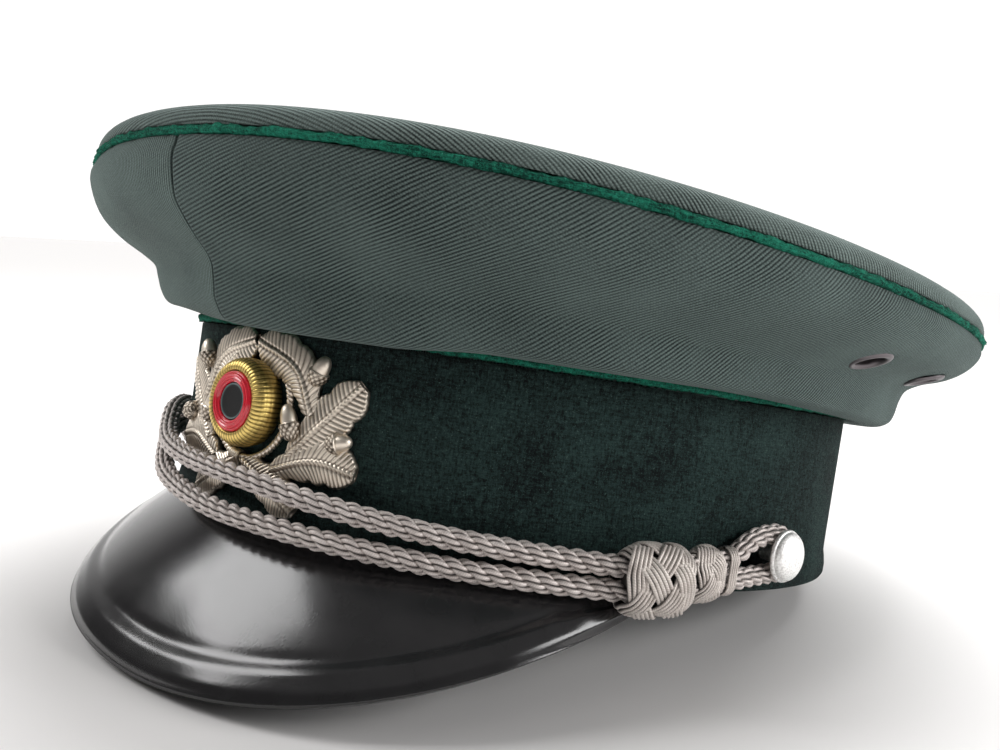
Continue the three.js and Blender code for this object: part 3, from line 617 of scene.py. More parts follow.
knotSizes = {
    "large": {"leads": 5, "bights": 4, "passes": 5, "yarn": 0.94, "length": 18.0, "tall": 16.4, "deep": 11.6,
              "square": 4.0, "twist": 35, "bindingTurns": 0},
    "small": {"leads": 3, "bights": 4, "passes": 6, "yarn": 0.82, "length": 11.0, "tall": 13.0, "deep": 8.6,
              "square": 3.2, "twist": 25, "bindingTurns": 4},
}
binding = {"start": 3.6, "spacing": 0.42, "clear": 0.15, "radius": 0.34}
knotPlaces = {"left": {"large": 57.7, "small": 65.6}, "right": {"large": -59.0, "small": -67.1}}


def routeAt(angle):  # heights of the upper and the lower cord, and how far they are lifted
    return [np.interp(angle, cordRoute[:, 0], cordRoute[:, k]) for k in (1, 2, 3)]


def knotSpot(angle):
    upper, lower, lift = routeAt(angle)
    return onBand(angle, cord["bed"] + lift, (upper + lower) / 2)


def makeKnot(side, size, angle):
    leads, bights, passes, yarn, length, tall, deep, square, twist, turns = knotSizes[size].values()
    place = knotSpot(angle)
    way = unit(knotSpot(angle + 1) - knotSpot(angle - 1))
    face = bandOut(angle)
    over = unit(np.cross(face, way))
    face = np.cross(way, over)
    radius = (tall + deep) / 4 - yarn
    swing = length / 2 - yarn * (passes / 2 + 0.4)
    turn = np.linspace(0, 2 * math.pi * leads, leads * 60, endpoint=False)
    phase = turn * bights / leads
    flat = joined(turn * radius, swing * np.cos(phase))
    slope = unit(joined(np.full_like(turn, radius), -swing * np.sin(phase) * bights / leads))
    aside = joined(-slope[:, 1], slope[:, 0])
    weave = np.sign(np.sin(phase)) * np.abs(np.sin(phase)) ** 0.6 * np.cos(leads * phase)
    lift = weave * yarn * 0.55 - yarn * 0.95
    shape = Shape()
    for k in range(passes):
        offset = (k - (passes - 1) / 2) * yarn * 0.96
        around, along = (flat + aside * offset).T
        around = np.degrees(around / radius) + twist
        bulge = (1 - np.abs(along / (length / 2)).clip(0, 0.97) ** square) ** (1 / square)
        high, thick = ((whole / 2 * bulge + lift)[:, None] for whole in (tall, deep))
        radial = cosine(around)[:, None] * high * over + sine(around)[:, None] * thick * face
        path = place + along[:, None] * way + radial
        shape.tube(path, unit(radial), yarn / 2, 6, closes=True)
    reach = cord["width"] * cord["fullness"] / 2 + binding["clear"]
    around = np.arange(0, 360, 10)
    for k in range(turns):
        at = math.copysign(abs(angle) + binding["start"] + k * binding["spacing"], angle)
        upper, lower, lift = routeAt(at)
        high = np.where(sine(around) > 0, upper, lower) + reach * sine(around)
        path = onBand(at + 0 * around, cord["bed"] + lift + reach * cosine(around), high)
        shape.tube(path, outwardAt(path), binding["radius"], 6, closes=True)
    # painted shade: the barrel under the yarns takes the dark gap colour all over, as its map spots sit at
    # the yarns' inward side
    core = np.linspace(-90, 90, 9)
    profile = joined(cosine(core) ** 0.7 * radius * 0.62, sine(core) * length * 0.42)
    shape.turned(profile, place, way, 16, spots=np.full((17, 9, 2), 0.5))
    return shape.piece(f"knot_{size}_{side}", knotPaint, "braid", f"knot_{size}_{side}", weld=True)


knots = [makeKnot(side, size, angle)
         for side, row in knotPlaces.items() for size, angle in row.items()]

print("cords and knots made")


# Band

band = {"rounds": 400, "unevenness": 0.12}


def woollen(name, light, dark, scale, nap, depth, radius=0):  # milled cloth whose fibres hide the weave
    paint = Paint(name, Roughness=0.95, Sheen_Weight=0.2, Sheen_Roughness=0.6, Sheen_Tint=rgb(*light),
                  Specular_IOR_Level=0.15)
    place = paint.place()
    along, up = paint.pattern()
    large = paint.noise(place, 0.06, 2.0)
    upright = paint.noise(paint.vector(along * 1.5, up * 0.45, large), scale, 3.0, 0.7)
    level = paint.noise(paint.vector(along * 0.45, up * 1.5, large), scale, 3.0, 0.7)
    weave = upright * 0.5 + level * 0.5
    fibre = paint.noise(place, scale * 4, 2.0, 0.8)
    tone = paint.span(weave * 0.75 + fibre * 0.35 + large * 0.2, 0.57, 0.75)
    colour = paint.blend(rgb(*dark), rgb(*light), tone)
    speck = paint.span(paint.noise(place, scale * 1.8, 1.0, 0.9), 0.66, 0.78)
    colour = paint.blend(colour, rgb(*nap), speck * 0.6)
    if radius:  # painted shade: a piping is darkened where it sinks between the cloths
        paintedLight = (up * (1 / math.tau / radius) + 0.25).wave()
        colour = paint.blend(rgb(1, 12, 10), colour, paint.span(paintedLight, 0.4, 0.88))
    return paint.finish(Base_Color=colour, Normal=paint.bump(weave * 1.4 + fibre * 0.6, depth, 0.9))


bandPaint = woollen("melton", (44, 64, 61), (3, 8, 10), 1.4, (92, 118, 112), 0.6)


def makeBand():
    angle = np.arange(band["rounds"]) * 360 / band["rounds"]
    height, wall = cap["bandHeight"], cap["bandWall"]
    bead, beadHeight = cap["bandBead"], cap["bandBeadHeight"]
    top = height - cap["bandPiping"] / 2 - cap["gap"]
    rolled = [(-wall, 0.3), (-wall + 0.4, 0), (bead * 0.5, 0.05), (bead * 0.95, 0.7),
              (bead, beadHeight * 0.4), (bead * 0.55, beadHeight * 0.75), (0.05, beadHeight)]
    plain = [(0.0, up) for up in np.linspace(beadHeight * 1.2, top, 26)]
    inner = [(-wall, up) for up in np.linspace(top, 0.6, 12)]
    profile = np.array(rolled + plain + inner)
    offset = np.broadcast_to(profile[:, 0], (len(angle), len(profile))).copy()
    rng = np.random.default_rng(4)
    for k in range(2, 9):  # slow swells of the stiffened cloth
        swell = rng.normal() * sine(k * angle + rng.uniform(0, 360)) * band["unevenness"] / k
        offset += swell[:, None] * (profile[:, 0] >= 0)
    points = onBand(angle[:, None], offset, profile[None, :, 1])
    around = np.arange(band["rounds"] + 1)[:, None] * arcLengths[-1] * 2 / band["rounds"]
    shape, outside = Shape(), Shape()
    shape.grid(points, True, True, spots=joined(around, runAlong(profile, True)))
    outside.grid(points[:, 2:len(rolled) + len(plain)], True)
    growNap("band_nap", [outside.mesh("bandOutside", bandFibre)], bandFibre)
    shape.piece("band", bandPaint, "melton", "band")


bandFibre = fibrePaint("meltonFibre", (78, 102, 98), (14, 28, 28))
makeBand()


# Pipings

piping = {"rounds": 900, "sides": 12, "unevenness": 0.32, "proud": -0.55, "flat": 0.82}
pipingFibre = fibrePaint("feltFibre", (56, 156, 128), (6, 70, 56))
pipingPaints = [woollen("greenFelt", (34, 128, 103), (2, 38, 32), 1.5, (80, 176, 146), 0.6, cap[name] / 2)
                for name in ("bandPiping", "crownPiping")]


def ringCord(name, centre, out, radius, flat, seed, paint):
    rng = np.random.default_rng(seed)
    turn = np.arange(piping["sides"]) * 360 / piping["sides"]
    lumps = rng.normal(size=(len(centre), piping["sides"]))
    lumps = (lumps + np.roll(lumps, 1, 0) + np.roll(lumps, -1, 0) + np.roll(lumps, 1, 1)) / 4
    thick = (radius * (1 + piping["unevenness"] * lumps))[..., None]
    lie = cosine(turn)[:, None] * out[:, None] + sine(turn)[:, None] * (0, 0, flat)
    around = np.arange(len(centre) + 1)[:, None] * 2 * arcLengths[-1] / len(centre)
    share = np.arange(piping["sides"] + 1) * math.tau * radius / piping["sides"]
    shape = Shape()
    shape.grid(centre[:, None] + thick * lie, True, True, spots=joined(around, share))
    growNap(name + "_nap", [shape.mesh(name, pipingFibre)], pipingFibre)
    shape.piece(name, paint, "piping_felt", name)


def makePipings():
    angle = np.arange(piping["rounds"]) * 360 / piping["rounds"]
    lower = onBand(angle, cap["gap"] / 2, cap["bandHeight"])
    ringCord("band_piping", lower, bandOut(angle), cap["bandPiping"] / 2, 1.0, 5, pipingPaints[0])
    upper, out = oval(cap["crownAcross"], cap["crownAlong"], cap["crownForward"], angle, crownEdge(angle))
    thick = cap["crownPiping"] / 2
    ringCord("crown_piping", upper + out * piping["proud"], out, thick, piping["flat"], 6, pipingPaints[1])


makePipings()
print("band and pipings made")


# Crown

# Fold lines from the thin piping up to the wide one. A pair is a share of the overhang and a share of
# the rise; the four pairs are for the right quarter, the front seam, the left quarter and the sides.
crownFolds = np.array([
    ((0.05, 0.05), (0.05, 0.03), (0.05, 0.035), (0.06, 0.012)),
    ((0.12, 0.08), (0.18, 0.016), (0.13, 0.018), (0.11, -0.056)),
    ((0.22, 0.102), (0.36, 0.016), (0.27, 0.015), (0.26, -0.076)),
    ((0.31, 0.13), (0.455, 0.037), (0.36, 0.034), (0.355, -0.025)),
    ((0.365, 0.19), (0.51, 0.095), (0.4, 0.09), (0.4, 0.07)),
    ((0.405, 0.28), (0.55, 0.2), (0.43, 0.21), (0.43, 0.27)),
    ((0.45, 0.365), (0.58, 0.3), (0.465, 0.31), (0.48, 0.405)),
    ((0.6, 0.459), (0.7, 0.41), (0.59, 0.405), (0.62, 0.512)),
    ((0.79, 0.56), (0.86, 0.535), (0.78, 0.53), (0.8, 0.595)),
    ((0.94, 0.69), (0.965, 0.665), (0.925, 0.66), (0.93, 0.715)),
    ((1.03, 0.88), (1.01, 0.83), (1.01, 0.82), (1.0, 0.85)),
])
# radii, the flange's height, the hole cut in the cloth, how deep it reaches and how far the ring is out
eyelet = {"radius": 5.2, "hole": 3.2, "barrel": 3.7, "proud": 0.9, "cut": 4.0, "cutDeep": 9, "out": 0.4}
crown = {
    "quarter": 30, "sideFrom": 60, "side": 104, "wall": 1.6, "topWall": 1.8, "steps": 280, "fine": 4,
    "seamGap": 0.3, "seamTuck": 0.6, "seamReach": 0.5, "pulls": 6, "pucker": 0.12, "puckers": 9,
    "rounds": 400, "rings": 26, "rollSteps": 12, "rollIn": 7.0, "rollUp": 6.0, "rollOut": 0.7, "topDip": 1.5,
    "droop": 1.9, "droopEnd": (22, 36), "edgeUp": 0.5,
    "walePitch": 0.8, "waleLeft": 21, "waleRight": 90, "waleTop": -4, "patternTurn": 80,
}
eyelets = {name: centreOf(name) for name in nodes if name.startswith("eyelet")}
overhang = (cap["crownAcross"] - cap["bandAcross"]) / 2 - cap["bandFlare"]


def sideLines(angle):  # share of the overhang and height, for rows of angles
    away = np.abs(angle)[:, None, None]
    near = np.where(angle[:, None, None] < 0, crownFolds[None, :, 0], crownFolds[None, :, 2])
    crease = 1 - (1 - np.clip(away / crown["quarter"], 0, 1)) ** 2
    round_ = ease(away, crown["sideFrom"], crown["side"])
    folds = mix(mix(crownFolds[None, :, 1], near, crease), crownFolds[None, :, 3], round_)
    edge = crownEdge(angle)[:, None]
    share = folds[..., 0]
    up = cap["bandHeight"] + folds[..., 1] * (edge - cap["bandHeight"])
    # near the front the underside sags over the thin piping
    front = 1 - ease(away[..., 0], *crown["droopEnd"])
    up = up - crown["droop"] * front * np.exp(-((share - 0.3) / 0.13) ** 2)
    over = cap["bandHeight"] + cap["bandPiping"] / 2 + cap["gap"]
    first = [joined(0 * edge + out / overhang, over) for out in (-cap["bandWall"] / 2, cap["bandPiping"] / 2)]
    last = joined(1.0, edge - cap["crownPiping"] / 2 - cap["gap"] + crown["edgeUp"])
    return np.concatenate([*first, joined(share, up), last], 1)


def clothMap(points, level, hand):  # places on the flat cut, a wide arc of cloth
    run = runAlong(points[:, level])
    run = run if hand > 0 else run[-1] - run
    climb = runAlong(points.swapaxes(0, 1)).T
    turn = crown["patternTurn"] * run[:, None] / run.max()
    radius = run.max() / math.radians(crown["patternTurn"]) + climb - climb[:, level:level + 1]
    return joined(hand * radius * sine(turn), radius * cosine(turn))


def twill(name, waleAngle, light, dark):
    paint = Paint(name, Sheen_Weight=0.25, Sheen_Roughness=0.5, Sheen_Tint=rgb(150, 168, 164),
                  Specular_IOR_Level=0.2)
    place = paint.place()
    u, v = paint.pattern()
    drift = paint.noise(place, 0.08, 2.0) * 0.7
    across = (u * float(-sine(waleAngle)) + v * float(cosine(waleAngle))) / crown["walePitch"] + drift
    along = u * float(cosine(waleAngle)) + v * float(sine(waleAngle))
    wale = across.wave()
    yarns = (along * 1.7 + across * 0.5).wave()
    fibre = paint.noise(paint.vector(along * 1.5, across * 4.0), 1.0, 3.0, 0.7)
    haze = paint.noise(place, 2.6, 3.0, 0.7)
    cloud = paint.noise(place, 0.045, 2.0)
    clear = paint.span(paint.noise(place, 0.11, 3.0, 0.6), 0.35, 0.65, 0.35, 0.95)
    height = (wale - 0.5) * clear * 0.75 + yarns * wale * 0.3 + fibre * 0.6
    specks = paint.noise(place, 4.5, 2.0, 0.8)
    tone = paint.span(height * 0.75 + haze * 0.6 + specks * 0.5 + cloud * 0.3, 0.66, 1.3)
    colour = paint.blend(rgb(*dark), rgb(*light), tone)
    normal = paint.bump(height + haze * 0.3, 0.15, 0.9)
    return paint.finish(Base_Color=colour, Normal=normal, Roughness=paint.span(fibre, 0, 1, 0.8, 0.98))


def makeSide(side, hand):
    seam = math.degrees(crown["seamGap"] / cap["crownAcross"])
    share = np.linspace(0, 1, crown["steps"] + 1)
    angle = hand * mix(seam, 180 - seam, mix(share, ease(share, 0, 1), 0.75))[::hand]
    lines = smoothColumns(sideLines(angle), crown["fine"])
    points = onCrown(np.broadcast_to(angle[:, None], lines.shape[:2]), lines[..., 0], lines[..., 1])
    normal = unit(np.cross(np.gradient(points, axis=0), np.gradient(points, axis=1)))
    away = np.minimum(np.abs(angle), 180 - np.abs(angle))[:, None] * math.radians(cap["crownAlong"] / 2)
    tuck = crown["seamTuck"] * np.exp(-(away / crown["seamReach"]) ** 2)
    rng = np.random.default_rng(8 + hand)
    climb = np.arange(lines.shape[1])[None, :] / lines.shape[1]
    soft = 0
    for _ in range(crown["pulls"]):  # slight pulls in the cloth, strongest in the hollow
        turn = rng.uniform(2, 9) * angle[:, None] + rng.uniform(0, 360) + climb * rng.uniform(-200, 200)
        soft = soft + sine(turn) * rng.uniform(0.05, 0.16)
    pucker = crown["pucker"] * sine(climb * 360 * crown["puckers"]) * np.exp(-away / 5)
    points = points + normal * (soft * sine(180 * climb) + pucker - tuck)[..., None]
    middles = (points[1:, 1:] + points[:-1, 1:] + points[1:, :-1] + points[:-1, :-1]) / 4
    keep = np.ones(middles.shape[:2], bool)
    for middle, axis in eyelets.values():
        away = middles - middle
        beside = away - (away @ axis)[..., None] * axis
        keep &= (np.linalg.norm(beside, axis=-1) > eyelet["cut"]) \
            | (np.linalg.norm(away, axis=-1) > eyelet["cutDeep"])
    shape = Shape()
    shape.grid(points, spots=clothMap(points, lines.shape[1] * 3 // 4, hand), keep=keep)
    paint = twillLeft if hand > 0 else twillRight
    cloths.append(shape.mesh(side, twillFibre))
    shape.piece(f"crown_side_{side}", paint, "twill", f"crown_side_{side}", wall=crown["wall"])


def makeTop():
    angle = np.arange(crown["rounds"])[:, None] * 360 / crown["rounds"]
    rollShare = 1 - 2 * crown["rollIn"] / cap["crownAcross"]
    turn = np.linspace(0, 90, crown["rollSteps"] + 1)[:-1]
    bulge = 2 * crown["rollOut"] / cap["crownAcross"] * sine(2 * turn)
    share = 1 - (1 - rollShare) * (1 - cosine(turn)) + bulge
    share = np.concatenate([share, rollShare * np.linspace(1, 0, crown["rings"]) ** 0.9])
    lift = np.concatenate([crown["rollUp"] * sine(turn), np.full(crown["rings"], crown["rollUp"])])
    start = cap["crownPiping"] / 2 + cap["gap"] - crown["edgeUp"]
    saddle = cap["crownSaddle"] / 2 * (1 - share ** 2 * cosine(2 * angle))
    dip = crown["topDip"] * (1 - share ** 2)
    up = cap["crownHeight"] + cap["crownLean"] * share * cosine(angle) - saddle - dip
    points = oval(cap["crownAcross"] * share, cap["crownAlong"] * share, cap["crownForward"], angle,
                  up + start + lift)[0]
    run = runAlong(points.swapaxes(0, 1)[::-1])[::-1].T
    spots = joined(run * sine(angle), run * cosine(angle))
    shape = Shape()
    shape.grid(points, rowsClose=True, spots=np.concatenate([spots, spots[:1]]))
    cloths.append(shape.mesh("top", twillFibre))
    shape.piece("crown_top", twillTop, "twill", "crown_top", weld=True, wall=crown["topWall"])


cloths = []  # the outer faces, for the nap
twillFibre = fibrePaint("twillFibre", (150, 166, 162), (52, 64, 62))
# one twill in three copies: the top's copy has lighter colours than the sides', painted light on the top; the
# right panel's copy is a little lighter than the left's
twillLeft = twill("twillLeft", crown["waleLeft"], (93, 107, 104), (17, 24, 24))
twillRight = twill("twillRight", crown["waleRight"], (104, 119, 115), (26, 34, 33))
twillTop = twill("twillTop", crown["waleTop"], (110, 124, 120), (22, 29, 28))
for side, hand in (("left", 1), ("right", -1)):
    makeSide(side, hand)
makeTop()
growNap("crown_nap", cloths, twillFibre)
print("crown made")


# Peak

peak = {
    "reach": 22.3, "drop": 32.2, "halfWidth": 78.15, "cornerBack": 42.6, "wall": 2.2, "rimWidth": 8.5,
    "rimProud": 0.7, "bulge": 1.0, "bow": 1.24, "arch": 1.69, "steps": 200, "rows": 60,
}


def lacquer():
    paint = Paint("blackLacquer", Coat_Weight=0.1, Coat_Roughness=0.1)
    place = paint.place()
    grain = paint.noise(place, 2.2, 3.0, 0.6)
    smear = paint.noise(place, 0.12, 3.0)
    colour = paint.blend(rgb(26, 26, 27), rgb(42, 41, 42), smear)
    rough = paint.span(smear * 0.8 + grain * 0.2, 0.3, 0.7, 0.13, 0.2)
    return paint.finish(Base_Color=colour, Roughness=rough, Normal=paint.bump(grain, 0.035, 0.6))


def makePeak():
    hem = 0.1 - cap["bandWall"]
    corner = math.degrees(math.acos(peak["cornerBack"] / (cap["bandAlong"] / 2 + hem)))
    tip = -cap["bandAlong"] / 2 - peak["reach"]
    s = np.linspace(-1, 1, peak["steps"] + 1)
    s = np.sign(s) * np.abs(s) ** 0.9
    inner = onBand(corner * s, hem, 0.0)
    inner[:, 2] = -cap["gap"]
    outer = joined(peak["halfWidth"] * sine(90 * s),
                   tip - (tip + peak["cornerBack"]) * (1 - cosine(90 * s)) ** peak["bow"],
                   -cap["gap"] - peak["drop"] * (1 - np.abs(s) ** peak["arch"]))
    fall = outer - inner
    run = np.hypot(fall[:, 0], fall[:, 1])[:, None]
    flat = np.minimum((cap["bandBead"] + cap["gap"] - hem) / run.clip(1e-6), 0.8)
    slope = np.hypot(run * (1 - flat), fall[:, 2:])
    border = 1 - np.minimum(peak["rimWidth"] / slope.clip(1e-6), 0.5)
    tilt = np.arctan2(-fall[:, 2:], run * (1 - flat))
    out = np.concatenate([fall[:, :2] / run.clip(1e-6) * np.sin(tilt), np.cos(tilt)], -1)
    full = np.clip(run / (peak["halfWidth"] / 6), 0, 1)
    lip = np.minimum(peak["rimProud"], slope / 10)
    t = np.linspace(0, 1, peak["rows"] + 1)[None, :]
    rimShare = (t - border) / (1 - border)  # 0 at the border's inner line, 1 at the edge
    proud = lip * (ease(rimShare, -0.12, 0.3) - 1.2 * ease(rimShare, 0.55, 1.0) ** 2)
    groove = -0.16 * lip * np.exp(-((rimShare + 0.16) / 0.14) ** 2)
    proud = proud + groove + full * peak["bulge"] * np.sin(np.pi * t)
    at = flat + t * (1 - flat)
    points = inner[:, None] + fall[:, None] * at[..., None]
    points[..., 2] = inner[:, None, 2] + fall[:, None, 2] * t
    points = points + out[:, None] * proud[..., None]
    points = np.concatenate([inner[:, None], points], 1)
    shape = Shape()
    shape.grid(points, flip=True)
    shape.piece("peak", lacquer(), "lacquer", "peak", wall=peak["wall"])


makePeak()
print("peak made")


# Oak wreath

wreath = {
    "shift": -1.2, "height": 0.6 * cap["bandHeight"], "halfWidth": 31.0, "tall": 41.0, "back": 0.4,
    "edge": 1.0, "dome": 0.7, "rib": 0.8, "vein": 0.3, "veins": 20, "slant": 0.5, "lobe": 0.17,
    "alongSteps": 150, "acrossSteps": 47, "ring": 12.4, "ringWidth": 1.5, "acorn": 2.15,
}

# from, via and to as shares of the half width and the height, width as a share of the half width, lobes
oakLeaves = {
    "top": ((0.6, -0.01), (0.42, 0.225), (0.02, 0.345), 0.345, 5),
    "outer": ((0.45, -0.24), (0.72, -0.02), (0.96, 0.19), 0.33, 4),
    "low": ((0.32, -0.33), (0.68, -0.24), (0.99, -0.27), 0.33, 4),
    "foot": ((0.03, -0.31), (0.27, -0.4), (0.55, -0.53), 0.3, 3),
}
acorns = {
    "top": ((0.6, 0.17), (0.67, 0.3)),
    "inner": ((0.48, -0.14), (0.4, 0.02)),
    "outer": ((0.78, -0.135), (0.93, -0.105)),
}
# the ring of rope: angles in degrees from its foot
rope = {"from": -150, "to": 118, "steps": 420, "pitch": 2.3, "ties": 5, "tieFrom": -16, "tieSpacing": 3.2,
        "tieRadius": 0.36}


def onBadge(across, up, depth):  # a place on the badge, laid on the band's curve
    angle = angleAt(wreath["shift"] + across)
    return onBand(angle, wreath["back"] + depth, wreath["height"] + up)


def onWreath(pair):
    return np.array([pair[0] * wreath["halfWidth"], pair[1] * wreath["tall"], 0.0])


def addLeaf(shape, row, hand, layer):
    start, via, end, width, lobes = row
    line, run = smoothRoute([onWreath(start), onWreath(via), onWreath(end)], 0.05)
    t = np.linspace(0, 1, wreath["alongSteps"])
    centre = np.stack([np.interp(t * run[-1], run, line[:, k]) for k in range(3)], -1)
    way = unit(np.gradient(centre, axis=0))
    aside = joined(-way[:, 1], way[:, 0], 0)
    lobe = 1 - wreath["lobe"] * (1 - np.abs(np.sin(np.pi * (lobes * t + 0.15))) ** 0.7)
    tips = 1 + 0.03 * np.abs(np.sin(np.pi * wreath["veins"] * t))
    outline = (0.4 + 0.6 * ease(t, -0.1, 0.62)) * np.sqrt(1 - t ** 7 * 0.9) * np.sqrt(ease(t, -0.08, 0.12))
    half = (width * wreath["halfWidth"] / 2 * outline * lobe * tips)[:, None]
    t, s = t[:, None], np.linspace(-1, 1, wreath["acrossSteps"])[None, :]
    reach = np.abs(s)
    slant = t * run[-1] - reach * half * wreath["slant"]
    vein = np.abs(np.sin(np.pi * slant / run[-1] * wreath["veins"])) ** 0.6
    midrib = np.exp(-(s * half / 0.4) ** 2)
    cut = np.exp(-((reach * half - 0.75) / 0.22) ** 2)  # a groove on each side of the midrib
    twist = 0.8 + 0.2 * np.sin(2 * np.pi * (t * run[-1] + s * 2.2))
    body = wreath["edge"] + wreath["dome"] * (1 - reach ** 2.4) * (1 - 0.3 * t)
    fade = ease(1 - reach, 0, 0.1) * (1 - midrib)
    depth = body + wreath["vein"] * vein * fade - 0.15 * cut
    depth = depth + wreath["rib"] * midrib * twist * (1 - 0.35 * t)
    depth = depth - 0.35 * ease(reach, 0.9, 1.0) + layer * 0.1
    flat = centre[:, None] + aside[:, None] * (s * half)[..., None]
    flat = np.pad(flat, ((0, 0), (1, 1), (0, 0)), mode="edge")
    points = onBadge(hand * flat[..., 0], flat[..., 1], np.pad(depth, ((0, 0), (1, 1))))
    wearAndHighlight = mix(mix(vein, 0.8, ease(reach, 0.9, 1.0)), twist, midrib) * (1 - 0.6 * cut * (1 - midrib))
    columns = points.shape[1]
    relief = np.pad(wearAndHighlight, ((0, 0), (1, 1)))
    first = shape.grid(points, columnsClose=True, flip=hand > 0, relief=relief)
    last = first + (len(t) - 1) * columns
    for end in (range(first, first + columns), range(last + columns - 1, last - 1, -1)):
        shape.lid(end[::hand])


def addAcorn(shape, row, hand):
    start, end = (onWreath(pair) for pair in row)
    radius = wreath["acorn"]
    foot = onBadge(hand * start[0], start[1], radius)
    head = onBadge(hand * end[0], end[1], radius)
    length = np.linalg.norm(head - foot) + 0.3 * radius
    split, brim = 0.42 * length, radius * 0.4
    turn, up = np.linspace(0, 1, 22), np.linspace(0, 1, 24)
    cup = joined(radius * 1.08 * np.sin(np.pi / 2 * turn ** 0.6), -brim + (split + brim) * turn)
    nut = joined(radius * 0.88 * np.sqrt(1 - up ** 2.4), split + (length - split) * up)
    profile = np.concatenate([cup, nut])

    def scales(turn, rise):  # a lattice of small scales on the cup
        height = (rise + brim) / (split + brim)
        return height, np.abs(sine(turn * 5 + height * 420)) * np.abs(sine(turn * 5 - height * 420))

    def scaled(turn, reach, rise):
        height, scale = scales(turn, rise)
        return reach + np.where(height < 0.97, 0.32 * (scale - 0.3) * ease(height, 0, 0.2), 0), rise

    height, scale = scales(np.arange(45)[:, None] * 8.0, profile[None, :, 1])
    wearAndHighlight = np.where(height < 0.99, scale, 1.0)
    shape.turned(profile, foot, head - foot, 45, swell=scaled, relief=wearAndHighlight)


def addRope(shape):  # the open ring of rope under the cockade, with its tie
    turn = np.linspace(rope["from"], rope["to"], rope["steps"])
    reach, width = wreath["ring"], wreath["ringWidth"]
    aside, deep = width * 0.25, width * 0.75
    for strand in (0, 180):
        twist = 360 * (np.radians(turn) * reach) / rope["pitch"] + strand
        grow = reach + aside * cosine(twist)
        path = onBadge(grow * sine(turn), -grow * cosine(turn), deep + aside * sine(twist))
        shape.tube(path, outwardAt(path), width * 0.32, 7)
    around = np.arange(0, 360, 15)
    for k in range(rope["ties"]):
        at = rope["tieFrom"] + k * rope["tieSpacing"]
        grow = reach + width * 0.85 * cosine(around)
        path = onBadge(grow * sine(at), -grow * cosine(at), deep + width * 0.8 * sine(around))
        shape.tube(path, outwardAt(path), rope["tieRadius"], 7, closes=True)


def metal(name, light, dark, rough, grain, scale=3.0):
    paint = Paint(name, Metallic=1.0)
    place = paint.place()
    hollow = paint.relief()
    fine = paint.noise(place, scale, 3.0, 0.6)
    cloud = paint.noise(place, 0.25, 2.0)
    shade = paint.span(hollow * 0.8 + cloud * 0.35, 0.2, 0.95)
    colour = paint.blend(rgb(*dark), rgb(*light), shade)
    return paint.finish(Base_Color=colour, Normal=paint.bump(fine, grain, 0.6),
                        Roughness=paint.span(fine * 0.5 + cloud * 0.5, 0.3, 0.7, rough, rough + 0.14))


def makeWreath():
    shape = Shape()
    for hand in (1, -1):
        for layer, row in enumerate(oakLeaves.values()):
            addLeaf(shape, row, hand, layer * 1.4)
        for row in acorns.values():
            addAcorn(shape, row, hand)
    addRope(shape)
    paint = metal("stampedSilver", (230, 219, 204), (84, 73, 61), 0.36, 0.03)
    shape.piece("wreath", paint, "wreath_metal", "wreath", weld=True)


makeWreath()
print("wreath made")


# Cockade

cockade = {
    "radius": 9.9, "depth": 6.4, "ring": 6.8, "centre": 4.1, "floor": 0.72, "ribs": 56, "rib": 0.13,
    "hoops": 6, "ringWaves": 3, "ringWave": 0.13, "edge": 0.95, "edgeProud": 0.16,
}
cockadeAngle = float(angleAt(wreath["shift"]))
cockadeSeat = onBand(cockadeAngle, cap["gap"], wreath["height"]), bandOut(cockadeAngle)


def turnedPiece(name, paint, slot, profile, place, axis, sides, swell=None, relief=None):
    shape = Shape()
    shape.turned(profile, place, axis, sides, swell=swell, relief=relief)
    shape.piece(name, paint, slot, name, weld=True)


def makeRim():
    radius, depth, seat = cockade["radius"], cockade["depth"], cockade["ring"] + cap["gap"]
    turn = np.linspace(90, 0, 72)
    dome = zip(mix(seat, radius, sine(turn) ** 0.9), mix(0.35 * depth, depth, cosine(turn) ** 0.8))
    foot = [(0, 0), (radius * 0.97, 0), (radius, 0.2 * depth)]
    profile = np.array([*foot, *dome, (seat, cockade["floor"] * depth), (0, 0.7 * depth)])

    def ribbed(turn, reach, rise):
        on = ease(rise, 0.1 * depth, 0.3 * depth) * ease(reach, seat, seat + 0.5)
        hoop = np.abs(np.sin(np.pi * cockade["hoops"] * (rise / depth))) ** 0.25
        rib = np.abs(sine(turn * cockade["ribs"] / 2)) ** 0.35
        swell = cockade["rib"] * on * (rib + 0.5 * hoop)
        return reach + swell, rise + swell * 0.5

    sides = cockade["ribs"] * 6
    grooves = np.abs(sine(np.arange(sides)[:, None] * 360 / sides * cockade["ribs"] / 2)) ** 0.5
    hoops = np.abs(np.sin(np.pi * cockade["hoops"] * profile[None, :, 1] / depth)) ** 0.4
    gilt = metal("agedGilt", (232, 204, 124), (112, 92, 42), 0.32, 0.08, 2.4)
    wearAndHighlight = grooves * (0.65 + 0.35 * hoops)
    turnedPiece("cockade_rim", gilt, "gilt", profile, *cockadeSeat, sides, ribbed, wearAndHighlight)


def redEnamel():
    paint = Paint("redEnamel", Coat_Weight=0.6, Coat_Roughness=0.08, Roughness=0.25)
    cloud = paint.noise(paint.place(), 0.5, 2.0)
    return paint.finish(Base_Color=paint.blend(rgb(196, 12, 36), rgb(226, 34, 58), cloud))


def makeRing():
    depth, radius, inner = cockade["depth"], cockade["ring"], cockade["centre"] + cap["gap"] * 0.5
    floor = cockade["floor"] * depth
    share = np.linspace(0, 1, 60)
    waves = cockade["ringWave"] * np.cos(2 * np.pi * cockade["ringWaves"] * share)
    rise = depth * (1.0 + 0.07 * np.sin(np.pi * share)) + waves
    rise -= 0.5 * (ease(-share, -0.06, 0) + ease(share, 0.95, 1))
    profile = [(inner, floor), (radius, floor), *zip(mix(radius, inner, share), rise), (inner, floor)]
    turnedPiece("cockade_ring", redEnamel(), "red_enamel", profile, *cockadeSeat, 128)


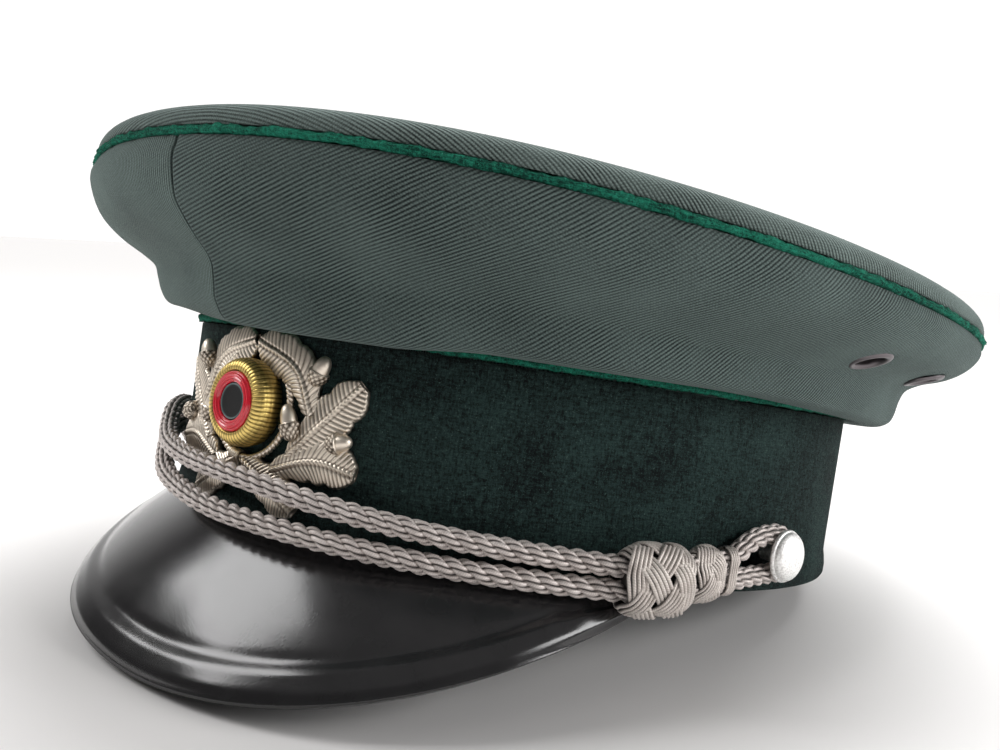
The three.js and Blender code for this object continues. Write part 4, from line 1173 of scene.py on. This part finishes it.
def blackEnamel():
    paint = Paint("blackEnamel", Roughness=0.5, Specular_IOR_Level=0.25)
    grain = paint.noise(paint.place(), 2.4, 3.0, 0.7)
    field = paint.blend(rgb(5, 6, 7), rgb(20, 23, 24), grain)
    # painted highlight: the black is lightened to blue-grey on the raised edge ring, where the relief
    # attribute is high
    return paint.finish(Base_Color=paint.blend(field, rgb(120, 146, 146), paint.relief() * 0.7),
                        Normal=paint.bump(grain, 0.06, 0.6))


def makeCentre():
    depth, radius, edge = cockade["depth"], cockade["centre"], cockade["edge"]
    floor = cockade["floor"] * depth
    reach = np.concatenate([np.linspace(1, 0.86, 14), np.linspace(0.84, 0, 16)])
    rise = depth * 0.97 + cockade["edgeProud"] * np.exp(-((reach - edge) / 0.035) ** 2)
    profile = [(0, floor), (radius, floor), *zip(radius * reach, rise)]
    # painted highlight: a thin light ring on the raised edge, carried by the relief attribute
    wearAndHighlight = np.concatenate([[0, 0], np.exp(-((reach - edge) / 0.05) ** 2)])
    wearAndHighlight = np.broadcast_to(wearAndHighlight, (96, len(profile)))
    turnedPiece("cockade_centre", blackEnamel(), "black_enamel", profile, *cockadeSeat, 96, relief=wearAndHighlight)


makeRim()
makeRing()
makeCentre()
print("cockade made")


# Buttons and eyelets

button = {"radius": 6.25, "dome": 2.6, "rim": 1.1, "under": cord["bed"] + cord["width"] / 2 + cap["gap"]}


def buttonPaint():
    paint = Paint("pebbledSilver", Metallic=0.8, Roughness=0.55)
    place = paint.place()
    pebbles = paint.node("ShaderNodeTexVoronoi", {"feature": "SMOOTH_F1"}, {"Vector": place, "Scale": 2.4})
    colour = paint.blend(rgb(255, 254, 252), rgb(222, 220, 218), paint.span(pebbles, 0.3, 0.7))
    return paint.finish(Base_Color=colour, Normal=paint.bump(1 - pebbles, 0.07, 0.7))


def makeButtons():
    paint = buttonPaint()
    shank, radius, under, rim = cord["shank"], button["radius"], button["under"], button["rim"]
    turn = np.linspace(0, 90, 14)
    dome = list(zip(radius * 0.93 * cosine(turn), under + rim + button["dome"] * sine(turn)))
    profile = [(0, 0.3), (shank, 0.3), (shank, under), (radius * 0.9, under), (radius * 0.98, under + 0.2),
               (radius, under + rim * 0.5), (radius * 0.98, under + rim * 0.85), (radius * 0.94, under + rim)]
    for side, hand in (("left", 1), ("right", -1)):
        angle = hand * cord["buttonAngle"]
        turnedPiece(f"button_{side}", paint, "button_metal", profile + dome,
                    onBand(angle, 0, cord["buttonHeight"]), bandOut(angle), 64)


def makeEyelets():
    paint = metal("darkMetal", (104, 99, 101), (34, 31, 33), 0.36, 0.03)
    hole, barrel, radius, wall = eyelet["hole"], eyelet["barrel"], eyelet["radius"], crown["wall"]
    turn = np.linspace(0, 180, 15)
    middle, half = (radius + hole) / 2, (radius - hole) / 2
    flange = list(zip(middle + half * cosine(turn), 0.3 + eyelet["proud"] * sine(turn)))
    profile = [(hole, -wall - 1), (barrel, -wall - 1), (barrel, 0.25)] + flange + [(hole, -wall - 1)]
    for name, (middle, axis) in eyelets.items():
        turnedPiece(name, paint, "dark_metal", profile, middle + axis * eyelet["out"], axis, 48)


makeButtons()
makeEyelets()
print("buttons and eyelets made")
